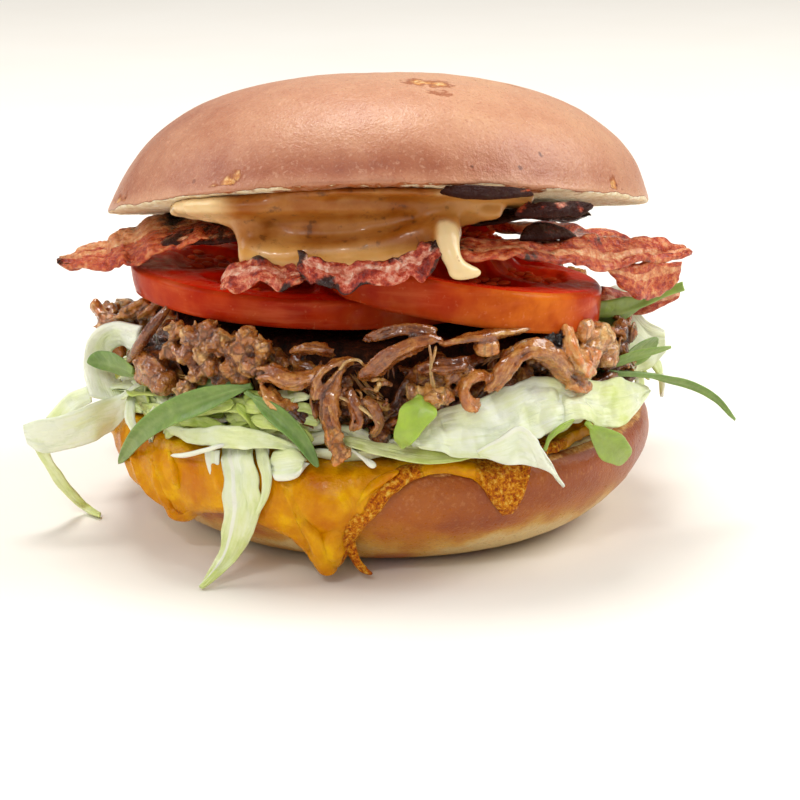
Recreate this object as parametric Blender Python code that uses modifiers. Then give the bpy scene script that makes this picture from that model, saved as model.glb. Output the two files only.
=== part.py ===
"""Pulled chicken burger, built as a stack of separate pieces of food.

Frame: metres, +Z up, origin at the centre of the heel bun's flat underside.
Seen from the front (looking along +Y) the bacon and lettuce stick out to both
sides.  All sizes below are in millimetres and are turned into metres by MM.

Stack, from the bottom: heel bun, melted cheese slice, lettuce, pulled chicken,
two tomato slices, bacon rashers, burger sauce, crown bun.  Rocket leaves and
lettuce shreds hang out at the sides.
"""

import math

import bmesh
import bpy
from mathutils import Matrix, Vector

MM = 0.001
GAP = 0.45  # clearance kept between neighbouring pieces of food

# ---- bun -------------------------------------------------------------------
BUN_R = 53.6  # widest radius of the heel
HEEL_H = 22.0
HEEL_PROFILE = (  # half section, top centre, out and down the side, to the foot
    (0.0, 22.0),
    (40.0, 22.0),
    (50.0, 21.8),
    (52.6, 20.6),
    (53.6, 17.5),
    (53.2, 13.5),
    (51.4, 9.0),
    (48.2, 5.0),
    (43.6, 1.9),
    (38.0, 0.35),
    (36.0, 0.0),
    (0.0, 0.0),
)
CROWN_R = 54.6
CROWN_H = 26.8
CROWN_POWER_R, CROWN_POWER_H = 2.45, 2.0  # section of the dome, a superellipse
CROWN_AT = (-1.6, 0.5, 60.2)  # centre of its cut face
CROWN_TILT, CROWN_ROLL = 13.5, 1.1  # degrees, front up, left down
CROWN_ARCH = 4.0  # how far the front rim curls up

# ---- layers ----------------------------------------------------------------
CHEESE_T = 2.0
CHEESE_RINGS = 8
BED_Z0, BED_Z1, BED_R = 25.2, 29.6, 49.5
MEAT_Z0, MEAT_R = 30.1, 46.0
SLICE_L = {"at": (-14.0, -8.0), "r": 35.0, "z": 45.0, "sx": -0.05, "sy": -0.06, "t": 5.6}
SLICE_R = {"at": (12.0, -19.0), "r": 30.0, "z": 48.66, "sx": -0.16, "sy": -0.107, "t": 7.6}
SLICE_R_LIFT = 3.0  # where it lies on the other slice

RASHER_T = 2.0
SHRED_T = 0.9
LEAF_T = 0.8


# ---- helpers ---------------------------------------------------------------
def clear_scene():
    for obj in list(bpy.data.objects):
        bpy.data.objects.remove(obj)


def new_collection(name):
    coll = bpy.data.collections.new(name)
    bpy.context.scene.collection.children.link(coll)
    return coll


def food_material(name, colour, roughness, metallic=0.0):
    mat = bpy.data.materials.new(name)
    mat.use_nodes = True
    bsdf = mat.node_tree.nodes["Principled BSDF"]
    bsdf.inputs["Base Color"].default_value = (*colour, 1.0)
    bsdf.inputs["Roughness"].default_value = roughness
    bsdf.inputs["Metallic"].default_value = metallic
    mat.diffuse_color = (*colour, 1.0)
    return mat


def clamp(x, low=0.0, high=1.0):
    return max(low, min(high, x))


def smooth(x):
    x = clamp(x)
    return x * x * (3 - 2 * x)


def bell(angle, centre, width):
    """A smooth bump in angle, all in degrees."""
    d = (angle - centre + 180.0) % 360.0 - 180.0
    return math.exp(-((d / width) ** 2))


def through(points, t):
    """The point at t, 0 to 1, on a smooth curve through the given points."""
    n = len(points) - 1
    x = clamp(t) * n
    i = min(int(x), n - 1)
    f = x - i
    p1, p2 = Vector(points[i]), Vector(points[i + 1])
    p0 = Vector(points[i - 1]) if i > 0 else 2 * p1 - p2
    p3 = Vector(points[i + 2]) if i + 2 <= n else 2 * p2 - p1
    return 0.5 * (
        2 * p1
        + (p2 - p0) * f
        + (2 * p0 - 5 * p1 + 4 * p2 - p3) * f * f
        + (3 * p1 - p0 - 3 * p2 + p3) * f * f * f
    )


def finish(name, bm, mat, coll, smooth_angle=50):
    bmesh.ops.recalc_face_normals(bm, faces=bm.faces)
    mesh = bpy.data.meshes.new(name)
    bm.to_mesh(mesh)
    bm.free()
    mesh.materials.append(mat)
    mesh.shade_smooth()
    mesh.set_sharp_from_angle(angle=math.radians(smooth_angle))
    obj = bpy.data.objects.new(name, mesh)
    coll.objects.link(obj)
    return obj


def round_piece(name, segments, rings, where, mat, coll):
    """A closed round piece from a UV sphere.  where(theta, q, side) gives the
    point in mm: theta in degrees, q from 0 at the middle to 1 at the rim,
    side +1 on top and -1 underneath."""
    bm = bmesh.new()
    bmesh.ops.create_uvsphere(bm, u_segments=segments, v_segments=2 * rings, radius=1)
    for v in bm.verts:
        theta = math.degrees(math.atan2(v.co.y, v.co.x))
        up = clamp(v.co.z, -1, 1)
        q = 1.0 - abs(math.asin(up)) / (math.pi / 2)
        v.co = Vector(where(theta, q, 1 if up >= 0 else -1)) * MM
    return finish(name, bm, mat, coll)


def turned(name, profile, steps, mat, coll):
    """A half section turned about Z."""
    bm = bmesh.new()
    verts = [bm.verts.new((r * MM, 0, z * MM)) for r, z in profile]
    for a, b in zip(verts, verts[1:]):
        bm.edges.new((a, b))
    mesh = bpy.data.meshes.new(name)
    bm.to_mesh(mesh)
    bm.free()
    mesh.materials.append(mat)
    obj = bpy.data.objects.new(name, mesh)
    coll.objects.link(obj)
    screw = obj.modifiers.new("Turn", "SCREW")
    screw.axis = "Z"
    screw.steps = screw.render_steps = steps
    screw.use_merge_vertices = True
    screw.merge_threshold = 0.00005
    screw.use_smooth_shade = True
    return obj


def band(name, nu, nv, where, thickness, mat, coll):
    """A bent sheet: a grid laid on where(u, v) in mm, given its thickness."""
    bm = bmesh.new()
    bmesh.ops.create_grid(bm, x_segments=nu, y_segments=nv, size=1.0)
    for v in bm.verts:
        v.co = Vector(where((v.co.x + 1) / 2, (v.co.y + 1) / 2)) * MM
    obj = finish(name, bm, mat, coll)
    solid = obj.modifiers.new("Thickness", "SOLIDIFY")
    solid.thickness = thickness * MM
    solid.offset = 0
    return obj


def between(first, second, wave=0.0, turns=2.0, phase=0.0):
    """A sheet that spans two edges, each a smooth curve, with a ripple."""

    def where(u, v):
        p = through(first, u).lerp(through(second, u), v)
        ripple = wave * math.sin(2 * math.pi * (turns * u + phase)) * math.sin(math.pi * u)
        return p + Vector((0, 0, ripple))

    return where


def leaf(spine, across, width, blade=0.0, cup=0.0, tip=0.7):
    """A leaf on a spine.  across is the direction of its width; blade is where
    the widest part lies along the spine; cup bends the two halves up."""

    def where(u, v):
        p = through(spine, u)
        side = through(across, u).normalized()
        reach = smooth(u / max(blade, 0.05)) * smooth((1 - u) / max(1 - blade, 0.05)) ** 0.6
        w = tip + (width - tip) * reach
        s = 2 * v - 1
        up = (through(spine, clamp(u + 0.02)) - through(spine, clamp(u - 0.02))).normalized().cross(side)
        return p + side * (s * w / 2) + up * (cup * s * s * reach)

    return where


def evaluated_bmesh(obj):
    bpy.context.view_layer.update()
    graph = bpy.context.evaluated_depsgraph_get()
    mesh = bpy.data.meshes.new_from_object(obj.evaluated_get(graph))
    bm = bmesh.new()
    bm.from_mesh(mesh)
    bm.transform(obj.matrix_world)
    bpy.data.meshes.remove(mesh)
    return bm


def box_of(obj, margin=0.6):
    bm = evaluated_bmesh(obj)
    lo = Vector([min(v.co[k] for v in bm.verts) - margin * MM for k in range(3)])
    hi = Vector([max(v.co[k] for v in bm.verts) + margin * MM for k in range(3)])
    bm.free()
    return lo, hi


def meet(a, b):
    return all(a[0][k] < b[1][k] and b[0][k] < a[1][k] for k in range(3))


def largest_island(bm):
    """Drops all but the largest connected part of a mesh."""
    left, islands = set(bm.verts), []
    while left:
        seed = left.pop()
        island, front = {seed}, [seed]
        while front:
            v = front.pop()
            for e in v.link_edges:
                other = e.other_vert(v)
                if other in left:
                    left.discard(other)
                    island.add(other)
                    front.append(other)
        islands.append(island)
    islands.sort(key=len)
    for island in islands[:-1]:
        bmesh.ops.delete(bm, geom=list(island), context="VERTS")


def carve(obj, neighbours, cutters, gap=GAP):
    """Cuts obj back from the pieces already placed, leaving the gap."""
    box = box_of(obj)
    near = [n for n in neighbours if meet(box, box_of(n))]
    if not near:
        return obj
    bm = evaluated_bmesh(obj)
    mesh = bpy.data.meshes.new(obj.name)
    bm.to_mesh(mesh)
    bm.free()
    mesh.materials.append(obj.data.materials[0])
    obj.modifiers.clear()
    obj.data = mesh
    obj.matrix_world = Matrix.Identity(4)
    for n in near:
        bm = evaluated_bmesh(n)
        bm.normal_update()
        for v in bm.verts:
            v.co += v.normal * gap * MM
        cut_mesh = bpy.data.meshes.new("cut_" + n.name)
        bm.to_mesh(cut_mesh)
        bm.free()
        cutter = bpy.data.objects.new("cut_" + n.name, cut_mesh)
        cutters.objects.link(cutter)
        cutter.hide_render = True
        cutter.display_type = "WIRE"
        boolean = obj.modifiers.new("Clear", "BOOLEAN")
        boolean.operation = "DIFFERENCE"
        boolean.solver = "EXACT"
        boolean.object = cutter
        bm = evaluated_bmesh(obj)
        bmesh.ops.remove_doubles(bm, verts=bm.verts, dist=0.00002)
        bmesh.ops.dissolve_degenerate(bm, edges=bm.edges, dist=0.00002)
        largest_island(bm)
        obj.modifiers.clear()
        if len(bm.faces):
            bm.to_mesh(obj.data)
        bm.free()
        bpy.data.objects.remove(cutter)
    obj.data.shade_smooth()
    obj.data.set_sharp_from_angle(angle=math.radians(50))
    return obj


# ---- surfaces of the layers --------------------------------------------------
def heel_side(depth):
    """(radius, height, outward slope) at a distance down the heel's side from
    the top of its rim, in mm."""
    side = HEEL_PROFILE[1:-1]
    d = depth
    for (r0, z0), (r1, z1) in zip(side, side[1:]):
        run = math.hypot(r1 - r0, z1 - z0)
        if d <= run:
            f = d / run
            return r0 + f * (r1 - r0), z0 + f * (z1 - z0), (-(z1 - z0) / run, (r1 - r0) / run)
        d -= run
    r, z = side[-1]
    return r, z, (0.0, -1.0)


CHEESE_EDGE = (  # bearing in degrees, how far it has run down from the rim in mm
    (-180, 11), (-165, 12), (-153, 18), (-143, 19), (-132, 14.5), (-122, 16), (-114, 19),
    (-107, 21), (-102.5, 25.5), (-98, 22), (-92, 12), (-85, 4.5), (-76, 2.4), (-70, 4),
    (-66, 10), (-62, 4.5), (-56, 2.4), (-40, 2.2), (-20, 2.6), (-8, 5.5), (2, 9), (12, 5),
    (30, 4), (50, 6), (62, 11), (74, 7), (95, 8), (112, 15), (122, 17), (134, 10), (155, 8),
    (180, 11),
)  # fmt: skip


def cheese_reach(theta):
    theta = (theta + 180.0) % 360.0 - 180.0
    for (a0, l0), (a1, l1) in zip(CHEESE_EDGE, CHEESE_EDGE[1:]):
        if theta <= a1:
            return l0 + (l1 - l0) * smooth((theta - a0) / (a1 - a0))
    return CHEESE_EDGE[-1][1]


def cheese_at(theta, q, side):
    theta -= math.degrees(0.38 * math.cos(math.radians(theta)))  # finer in front
    ring = q * CHEESE_RINGS
    if ring < 1.5:
        r, z, (nr, nz) = 48.0 * ring, HEEL_H, (0.0, 1.0)
    else:
        f = (ring - 1) / (CHEESE_RINGS - 1)
        r, z, (nr, nz) = heel_side(8.0 + f**1.5 * (cheese_reach(theta) - 8.0 + 10.0))
        fall = smooth((13.0 - z) / 12.0)  # a long drip hangs clear of the bun
        r += fall * (50.5 - r) * 0.85
    edge = (1 - q**8) ** 0.5
    off = 1.0 + CHEESE_T * (0.5 + 0.5 * side * edge)
    r, z = r + nr * off, z + nz * off
    a = math.radians(theta)
    return r * math.cos(a), r * math.sin(a), max(z, 0.05 + 0.02 * off)


def uneven(theta, size, seed=0.0):
    a = math.radians(theta)
    return size * (
        0.5 * math.sin(3 * a + 1.3 + seed) + 0.35 * math.sin(5 * a + 0.4 + 2 * seed) + 0.3 * math.sin(9 * a + 2.1 + seed)
    )


def bed_at(theta, q, side):
    r = (BED_R + uneven(theta, 2.6)) * (1 - (1 - q) ** 1.5)
    edge = (1 - q**6) ** 0.5
    mid, half = (BED_Z0 + BED_Z1) / 2, (BED_Z1 - BED_Z0) / 2
    a = math.radians(theta)
    sag = 1.2 * q * q * bell(theta, -90, 60)
    z = mid + side * half * edge - (sag if side > 0 else 0)
    return r * math.cos(a), r * math.sin(a), z


def slice_l_base(x, y):
    s = SLICE_L
    return s["z"] + s["sx"] * (x - s["at"][0]) + s["sy"] * (y - s["at"][1])


def slice_r_base(x, y):
    s = SLICE_R
    z = s["z"] - 1.92 + s["sx"] * (x - s["at"][0]) + s["sy"] * (y - s["at"][1])
    lx, ly = SLICE_L["at"]
    inside = SLICE_L["r"] + 3.0 - math.hypot(x - lx, y - ly)
    z += SLICE_R_LIFT * smooth(inside / 14.0)
    return max(z, slice_l_base(x, y) + SLICE_L["t"] + 0.5) if inside > -1.5 else z


def slice_at(s, base, seed):
    def where(theta, q, side):
        r = (s["r"] + uneven(theta, 0.9, seed)) * (1 - (1 - q) ** 1.4)
        a = math.radians(theta)
        x, y = s["at"][0] + r * math.cos(a), s["at"][1] + r * math.sin(a)
        edge = (1 - q**16) ** 0.5
        return x, y, base(x, y) + s["t"] * (0.5 + 0.5 * side * edge)

    return where


def meat_top(x, y):
    z = min(44.6 - 0.02 * x, crown_under(x, y) - 4.0)
    z = min(z, slice_l_base(x, y) - 0.5)
    near = SLICE_R["r"] + 2.0 - math.hypot(x - SLICE_R["at"][0], y - SLICE_R["at"][1])
    return min(z, slice_r_base(x, y) - 0.5) if near > 0 else z


def meat_at(theta, q, side):
    r = MEAT_R + uneven(theta, 2.4, 2.0)
    r += 10.5 * bell(theta, 177, 7) + 3.0 * bell(theta, -90, 9) + 3.0 * bell(theta, -18, 10)
    r += 2.5 * bell(theta, -150, 12) - 1.5 * bell(theta, -52, 14) + 4.0 * bell(theta, 60, 10)
    rr = r * (1 - (1 - q) ** 1.5)
    a = math.radians(theta)
    x, y = rr * math.cos(a), rr * math.sin(a)
    edge = (1 - q**5) ** 0.5
    top, low = meat_top(x, y), MEAT_Z0
    hang = 2.2 * bell(theta, 60, 8) * smooth((q - 0.8) / 0.2)
    mid = (top + low) / 2 + 1.2 * smooth((q - 0.7) / 0.3)
    z = mid + (top - mid if side > 0 else low - mid) * edge
    lump = 0.5 * math.sin(math.radians(11 * theta)) * math.sin(9 * q) * smooth((q - 0.3) / 0.4)
    return x, y, (z - hang if side > 0 else z) + (lump - 0.5 if side > 0 else 0)


def crown_section(q, side):
    """(radius, height) in the crown's own frame, on its cut face at height 0."""
    if side > 0:
        a = q * math.pi / 2
        r = CROWN_R * math.sin(a) ** (2 / CROWN_POWER_R)
        return r, 0.9 + (CROWN_H - 0.9) * max(math.cos(a), 0.0) ** (2 / CROWN_POWER_H)
    return (CROWN_R - 0.8) * (1 - (1 - q) ** 1.3), 0.0


def crown_at(theta, q, side):
    r, z = crown_section(q, side)
    front = max(0.0, -math.sin(math.radians(theta)))
    z += CROWN_ARCH * front**2 * (r / CROWN_R) ** 2
    a = math.radians(theta)
    return r * math.cos(a), r * math.sin(a), z


def crown_matrix():
    return (
        Matrix.Translation(Vector(CROWN_AT) * MM)
        @ Matrix.Rotation(math.radians(-CROWN_TILT), 4, "X")
        @ Matrix.Rotation(math.radians(-CROWN_ROLL), 4, "Y")
    )


def crown_under(x, y):
    """Height of the crown's cut face over a point, in mm."""
    r = math.hypot(x - CROWN_AT[0], y - CROWN_AT[1])
    front = clamp(-(y - CROWN_AT[1]) / max(r, 1e-6), 0, 1)
    slope = math.tan(math.radians(CROWN_TILT))
    return CROWN_AT[2] - slope * (y - CROWN_AT[1]) + CROWN_ARCH * front**2 * (r / CROWN_R) ** 2


def sauce_at(theta, q, side):
    """Thick sauce between the bacon and the crown, with two drips in front."""
    r = 21.0 + 3.0 * bell(theta, -65, 25) + 4.5 * bell(theta, -118, 22) + uneven(theta, 1.6, 4.0)
    r += 4.0 * bell(theta, 170, 30)
    rr = r * (1 - (1 - q) ** 1.5)
    a = math.radians(theta)
    x, y = -4.0 + 1.05 * rr * math.cos(a), -29.0 + rr * math.sin(a)
    edge = (1 - q**6) ** 0.5
    top = crown_under(x, y) - 0.6
    low = 61.0 + 0.10 * (-29 - y) - 2.6 * smooth((-40 - y) / 8) * (bell(theta, -115, 26) + 1.1 * bell(theta, -50, 9))
    low -= 0.16 * max(0.0, x - 4) + 0.25 * max(0.0, y + 29)
    mid = (top + low) / 2 - 1.0 * smooth((-40 - y) / 10)
    z = mid + (top - mid if side > 0 else low - mid) * edge
    return x, y, z


# ---- build -------------------------------------------------------------------
def build():
    clear_scene()
    food = new_collection("pulled_chicken_burger")
    cutters = new_collection("cutters")

    crust = food_material("bun_crust", (0.52, 0.24, 0.12), 0.45)
    cheddar = food_material("cheddar", (0.85, 0.40, 0.02), 0.35)
    iceberg = food_material("lettuce", (0.62, 0.72, 0.34), 0.40)
    rocket = food_material("rocket", (0.16, 0.32, 0.07), 0.45)
    chicken = food_material("pulled_chicken", (0.28, 0.13, 0.06), 0.35)
    tomato = food_material("tomato", (0.62, 0.12, 0.05), 0.25)
    bacon = food_material("bacon", (0.42, 0.12, 0.07), 0.40)
    sauce = food_material("burger_sauce", (0.78, 0.48, 0.24), 0.25)

    placed = []

    def add(obj, cut=True):
        if cut:
            carve(obj, placed, cutters)
        placed.append(obj)
        return obj

    # Buns
    add(turned("heel_bun", HEEL_PROFILE, 48, crust, food), cut=False)
    crown = round_piece("crown_bun", 44, 6, crown_at, crust, food)
    crown.matrix_world = crown_matrix()
    add(crown, cut=False)

    # Melted cheese over the heel
    add(round_piece("cheddar_slice", 52, CHEESE_RINGS, cheese_at, cheddar, food), cut=False)

    # Tomato slices, the right one lying partly on the left one
    add(round_piece("tomato_slice_left", 32, 4, slice_at(SLICE_L, slice_l_base, 0.0), tomato, food))
    add(round_piece("tomato_slice_right", 32, 5, slice_at(SLICE_R, slice_r_base, 1.0), tomato, food))

    # Lettuce that hangs out: a looped shred, a long shred, a large leaf
    add(
        band(
            "lettuce_shred_left",
            20,
            2,
            between(
                (
                    (-42, -26, 36.5), (-50, -20, 40.5), (-57, -12, 39.5), (-60, -11, 34.5), (-60, -17, 30.5),
                    (-61, -21, 28.0), (-65, -20, 26.0), (-69, -18, 23.0), (-67.5, -19, 16.0), (-64.0, -17, 8.0), (-58.0, -13.6, 0.9),
                ),
                (
                    (-44, -22, 31.0), (-50, -16, 32.5), (-55, -9, 31.5), (-57, -11, 26.0), (-57.5, -17, 20.5),
                    (-60, -20, 18.0), (-64, -20, 16.5), (-66, -18, 14.5), (-63.5, -18, 10.5), (-60.5, -15, 5.0), (-56.5, -12.4, 0.8),
                ),
            ),
            SHRED_T,
            iceberg,
            food,
        )
    )
    add(
        band(
            "lettuce_shred_front",
            14,
            2,
            between(
                ((-31, -46, 29.5), (-31, -51.5, 27), (-31.2, -53.5, 20), (-31, -54.5, 13), (-31.5, -54.5, 7), (-34, -53.6, 0.9)),
                ((-24, -47, 30.0), (-23.5, -52.5, 27), (-22.5, -54.6, 20), (-22.2, -55.4, 13), (-26, -55.2, 7), (-32.6, -53.2, 0.8)),
            ),
            SHRED_T,
            iceberg,
            food,
        )
    )
    add(
        band(
            "lettuce_leaf_right",
            14,
            3,
            between(
                ((5, -52.6, 31.5), (13, -51, 35.0), (22, -47.5, 36.8), (31, -41.0, 36.5), (41, -31, 33.0), (49, -19, 29.0), (53.5, -7, 27.0)),
                ((6, -53.4, 28.0), (14, -54.5, 25.6), (23, -52.5, 25.0), (32, -48.0, 24.8), (42.5, -38.5, 23.6), (50.5, -25, 22.4), (54.8, -9, 23.0)),
                wave=0.5,
                turns=3,
            ),
            LEAF_T,
            iceberg,
            food,
        )
    )
    add(
        band(
            "lettuce_leaf_fold",
            10,
            3,
            between(
                ((15, -56.0, 26.0), (20, -55.4, 29.5), (26, -53.2, 31.0), (31, -52.8, 27.5), (34, -53.0, 20.8)),
                ((16, -56.6, 24.4), (21, -57.0, 24.2), (26, -55.8, 24.0), (30.5, -54.0, 23.4), (33.2, -53.6, 19.6)),
            ),
            LEAF_T,
            iceberg,
            food,
        )
    )
    add(
        band(
            "lettuce_leaf_back",
            14,
            3,
            between(
                ((34, 42.5, 36.0), (24, 49.5, 38.0), (12, 53.2, 36.5), (0, 54.2, 37.0), (-13, 53.0, 35.0), (-25, 48.5, 35.5), (-35, 41.5, 33.0)),
                ((38, 45.0, 25.0), (26, 53.0, 23.0), (13, 57.2, 22.0), (0, 58.4, 24.0), (-14, 57.0, 21.5), (-27, 52.0, 23.5), (-38, 44.5, 25.5)),
                wave=0.6,
                turns=3,
            ),
            LEAF_T,
            iceberg,
            food,
        )
    )

    # Rocket leaves
    def rocket_leaf(name, spine, across, width, blade=0.5, cup=0.8, tip=0.9):
        add(band(name, 8, 2, leaf(spine, across, width, blade, cup, tip), LEAF_T, rocket, food))

    rocket_leaf(
        "rocket_leaf_left",
        ((-50.0, -38.6, 20.0), (-46.5, -41.4, 25.8), (-41.0, -44.0, 30.2), (-35.0, -47.0, 33.6), (-27.0, -49.0, 35.6), (-23.5, -48.8, 36.2)),
        ((0.6, -0.6, -0.6), (0.45, -0.5, -0.75), (0.3, -0.4, -0.8)),
        6.6,
        blade=0.4,
    )
    rocket_leaf(
        "rocket_leaf_front",
        ((-22.5, -50.2, 36.0), (-18.0, -52.6, 33.2), (-14.6, -54.6, 29.0), (-11.8, -55.6, 24.6)),
        ((0.6, -0.2, 0.7), (0.75, -0.15, 0.55), (0.85, -0.1, 0.4)),
        4.6,
        blade=0.45,
    )
    rocket_leaf(
        "rocket_leaf_inner",
        ((-37.6, -40.6, 34.4), (-33.5, -44.4, 37.6), (-28.0, -46.0, 38.2)),
        ((0.2, -0.5, -0.8), (0.1, -0.5, -0.8)),
        4.0,
        blade=0.5,
        cup=0.3,
    )
    rocket_leaf(
        "rocket_leaf_loop",
        ((-57.8, -14.6, 35.4), (-53.5, -19.5, 35.4), (-48.5, -24.8, 35.0)),
        ((-0.3, -0.3, 0.9), (-0.3, -0.3, 0.9)),
        6.0,
        blade=0.5,
        cup=0.4,
        tip=1.4,
    )
    rocket_leaf(
        "rocket_leaf_centre",
        ((9.0, -54.6, 26.8), (5.5, -55.2, 31.5), (4.2, -53.8, 36.0)),
        ((0.95, -0.1, 0.2), (0.9, 0.0, 0.3)),
        7.6,
        blade=0.55,
        cup=0.5,
        tip=1.6,
    )
    rocket_leaf(
        "rocket_leaf_right_upper",
        ((58.6, -9.0, 46.4), (52.0, -12.5, 44.4), (46.5, -16.0, 42.6), (41.0, -19.5, 42.4)),
        ((0.1, -0.3, 0.95), (0.1, -0.3, 0.95)),
        5.6,
        blade=0.75,
        cup=0.4,
        tip=1.9,
    )
    rocket_leaf(
        "rocket_leaf_right_middle",
        ((43.5, -18.5, 34.6), (49.5, -15.0, 34.8), (56.6, -10.5, 36.8)),
        ((0.2, -0.4, 0.9), (0.2, -0.4, 0.9)),
        6.4,
        blade=0.62,
        cup=0.5,
        tip=1.6,
    )
    rocket_leaf(
        "rocket_blade_right",
        ((41.6, -23.0, 33.2), (50.0, -19.5, 35.6), (58.2, -16.5, 36.6)),
        ((0.1, -0.5, 0.85), (0.1, -0.5, 0.85)),
        3.0,
        blade=0.4,
        cup=0.2,
        tip=0.8,
    )
    rocket_leaf(
        "rocket_stem_right",
        ((42.6, -23.0, 31.4), (50.0, -18.6, 31.0), (60.0, -14.2, 28.6), (65.4, -11.6, 24.8), (69.8, -9.6, 18.8)),
        ((0.0, -0.5, 0.85), (0.1, -0.5, 0.85), (0.4, -0.4, 0.8)),
        2.2,
        blade=0.3,
        cup=0.1,
        tip=0.8,
    )
    rocket_leaf(
        "rocket_leaf_right_low",
        ((39.2, -41.2, 25.8), (43.0, -39.8, 22.6), (48.2, -36.4, 18.4)),
        ((0.5, -0.1, 0.85), (0.5, -0.1, 0.85)),
        5.6,
        blade=0.6,
        cup=0.4,
        tip=1.2,
    )
    rocket_leaf(
        "rocket_leaf_back",
        ((18.0, 50.6, 33.0), (22.0, 57.0, 30.0), (27.0, 60.6, 24.0), (30.0, 61.4, 17.0)),
        ((0.8, -0.5, 0.3), (0.8, -0.5, 0.3)),
        6.0,
        blade=0.5,
    )
    rocket_leaf(
        "rocket_leaf_back_left",
        ((-40.0, 32.0, 34.0), (-47.5, 36.0, 33.0), (-53.5, 38.5, 28.0), (-57.0, 39.5, 21.5)),
        ((0.5, 0.8, 0.3), (0.5, 0.8, 0.3)),
        5.4,
        blade=0.5,
    )

    # Bacon rashers
    def rasher(name, first, second, nu=10, nv=2, wave=0.6, turns=2.0, phase=0.0):
        add(band(name, nu, nv, between(first, second, wave, turns, phase), RASHER_T, bacon, food))

    rasher(
        "bacon_rasher_left",
        ((-63, -14.5, 53.0), (-55, -20, 52.6), (-47, -26, 54.4), (-37, -29, 57.4), (-26, -24, 58.4), (-15, -6, 56.6), (-6, 14, 52.6), (0, 34, 48.0), (3, 50, 45.6)),
        ((-62.4, -12.5, 54.0), (-58, -9, 54.6), (-53, -6, 56.0), (-45, -4, 57.6), (-37, 0, 57.2), (-29, 10, 54.8), (-23, 26, 51.2), (-19, 40, 47.6), (-16, 51, 45.2)),
        nu=16,
    )
    rasher(
        "bacon_rasher_right",
        ((-4, -42, 62.8), (5, -45, 62.6), (13, -47, 60.4), (22, -44.5, 58.6), (33, -37, 55.4), (41, -28, 52.6), (49, -20, 52.8), (60, -11, 52.2)),
        ((-2, -30, 62.0), (7, -32, 62.0), (15, -35, 61.6), (27.5, -27, 59.8), (40, -16, 56.8), (47, -9, 54.4), (53, -5, 53.2), (60.2, -3.5, 51.9)),
        nu=16,
        wave=0.5,
        turns=3,
    )
    rasher(
        "bacon_rasher_right_fold",
        ((42.0, -25.0, 50.6), (49.0, -18.4, 50.6), (55.0, -13.0, 50.2), (59.0, -10.0, 50.2)),
        ((44.4, -22.0, 47.4), (49.0, -16.8, 45.4), (55.0, -12.0, 45.6), (58.6, -9.4, 47.4)),
        nu=8,
        wave=0.3,
    )
    rasher(
        "bacon_tip_right",
        ((43.0, -8.0, 46.0), (50.0, -5.0, 44.4), (58.2, -3.0, 45.6)),
        ((42.0, -10.0, 42.4), (50.5, -8.0, 40.4), (58.0, -5.0, 44.0)),
        nu=6,
        nv=2,
        wave=0.0,
    )
    rasher(
        "bacon_rasher_under_crown",
        ((12, -38, 65.8), (20, -35.5, 66.0), (30, -30, 65.6), (39, -22.5, 63.6)),
        ((10, -24, 64.6), (19, -21, 64.4), (28, -16, 62.6), (37, -10, 60.4)),
        nu=10,
        wave=0.4,
    )
    rasher(
        "bacon_curl_right",
        ((21, -36.5, 62.6), (27, -33.5, 63.4), (33, -29.5, 62.2), (39.5, -24.0, 58.8)),
        ((22, -31, 62.4), (28, -27, 62.2), (34, -22.5, 60.4), (40.5, -18, 58.8)),
        nu=8,
        wave=0.2,
    )
    rasher(
        "bacon_front_left",
        ((-31, -43.5, 55.2), (-25, -47.0, 54.6), (-20, -48.2, 55.0), (-15, -48.0, 57.4)),
        ((-29, -38.5, 57.2), (-24, -41.0, 58.2), (-19, -42.6, 58.6), (-14.5, -44, 59.4)),
        nu=8,
        wave=0.3,
    )
    rasher(
        "bacon_front_middle",
        ((-15, -48.8, 59.6), (-11, -51.4, 56.6), (-4, -51.8, 57.2), (3, -51.6, 58.4), (7.5, -50.4, 61.0), (10.5, -48.8, 65.0)),
        ((-14, -44.6, 61.4), (-9, -46.2, 61.6), (-3, -46.8, 62.2), (2, -47.0, 62.4), (5.5, -46.8, 63.6), (8.8, -46.6, 66.4)),
        nu=12,
        wave=0.3,
        turns=3,
    )
    rasher(
        "bacon_end_crown",
        ((11.5, -45.5, 71.2), (17, -44.5, 71.0), (23, -42.0, 70.2), (28, -37.5, 68.6)),
        ((11.5, -38.5, 69.6), (17, -37.5, 69.4), (22, -35.5, 68.8), (26, -32.5, 67.6)),
        nu=8,
        wave=0.0,
    )
    rasher(
        "bacon_rasher_back",
        ((14, 12, 54.6), (18, 24, 51.6), (24, 36, 48.2), (31, 46, 45.2), (37, 54, 43.4)),
        ((33, 4, 54.6), (35, 16, 52.0), (40, 27, 49.2), (46, 36, 46.4), (52, 43, 44.0)),
        nu=10,
    )

    # Lettuce bed, pulled chicken and sauce fill what is left between the rest
    add(round_piece("lettuce_bed", 40, 3, bed_at, iceberg, food))
    add(round_piece("pulled_chicken", 48, 5, meat_at, chicken, food))
    add(round_piece("burger_sauce", 24, 4, sauce_at, sauce, food))


build()
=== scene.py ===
"""Pulled chicken burger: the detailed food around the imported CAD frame.

Lengths below are in millimetres and become metres where a mesh is made.
"""

import math

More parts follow.
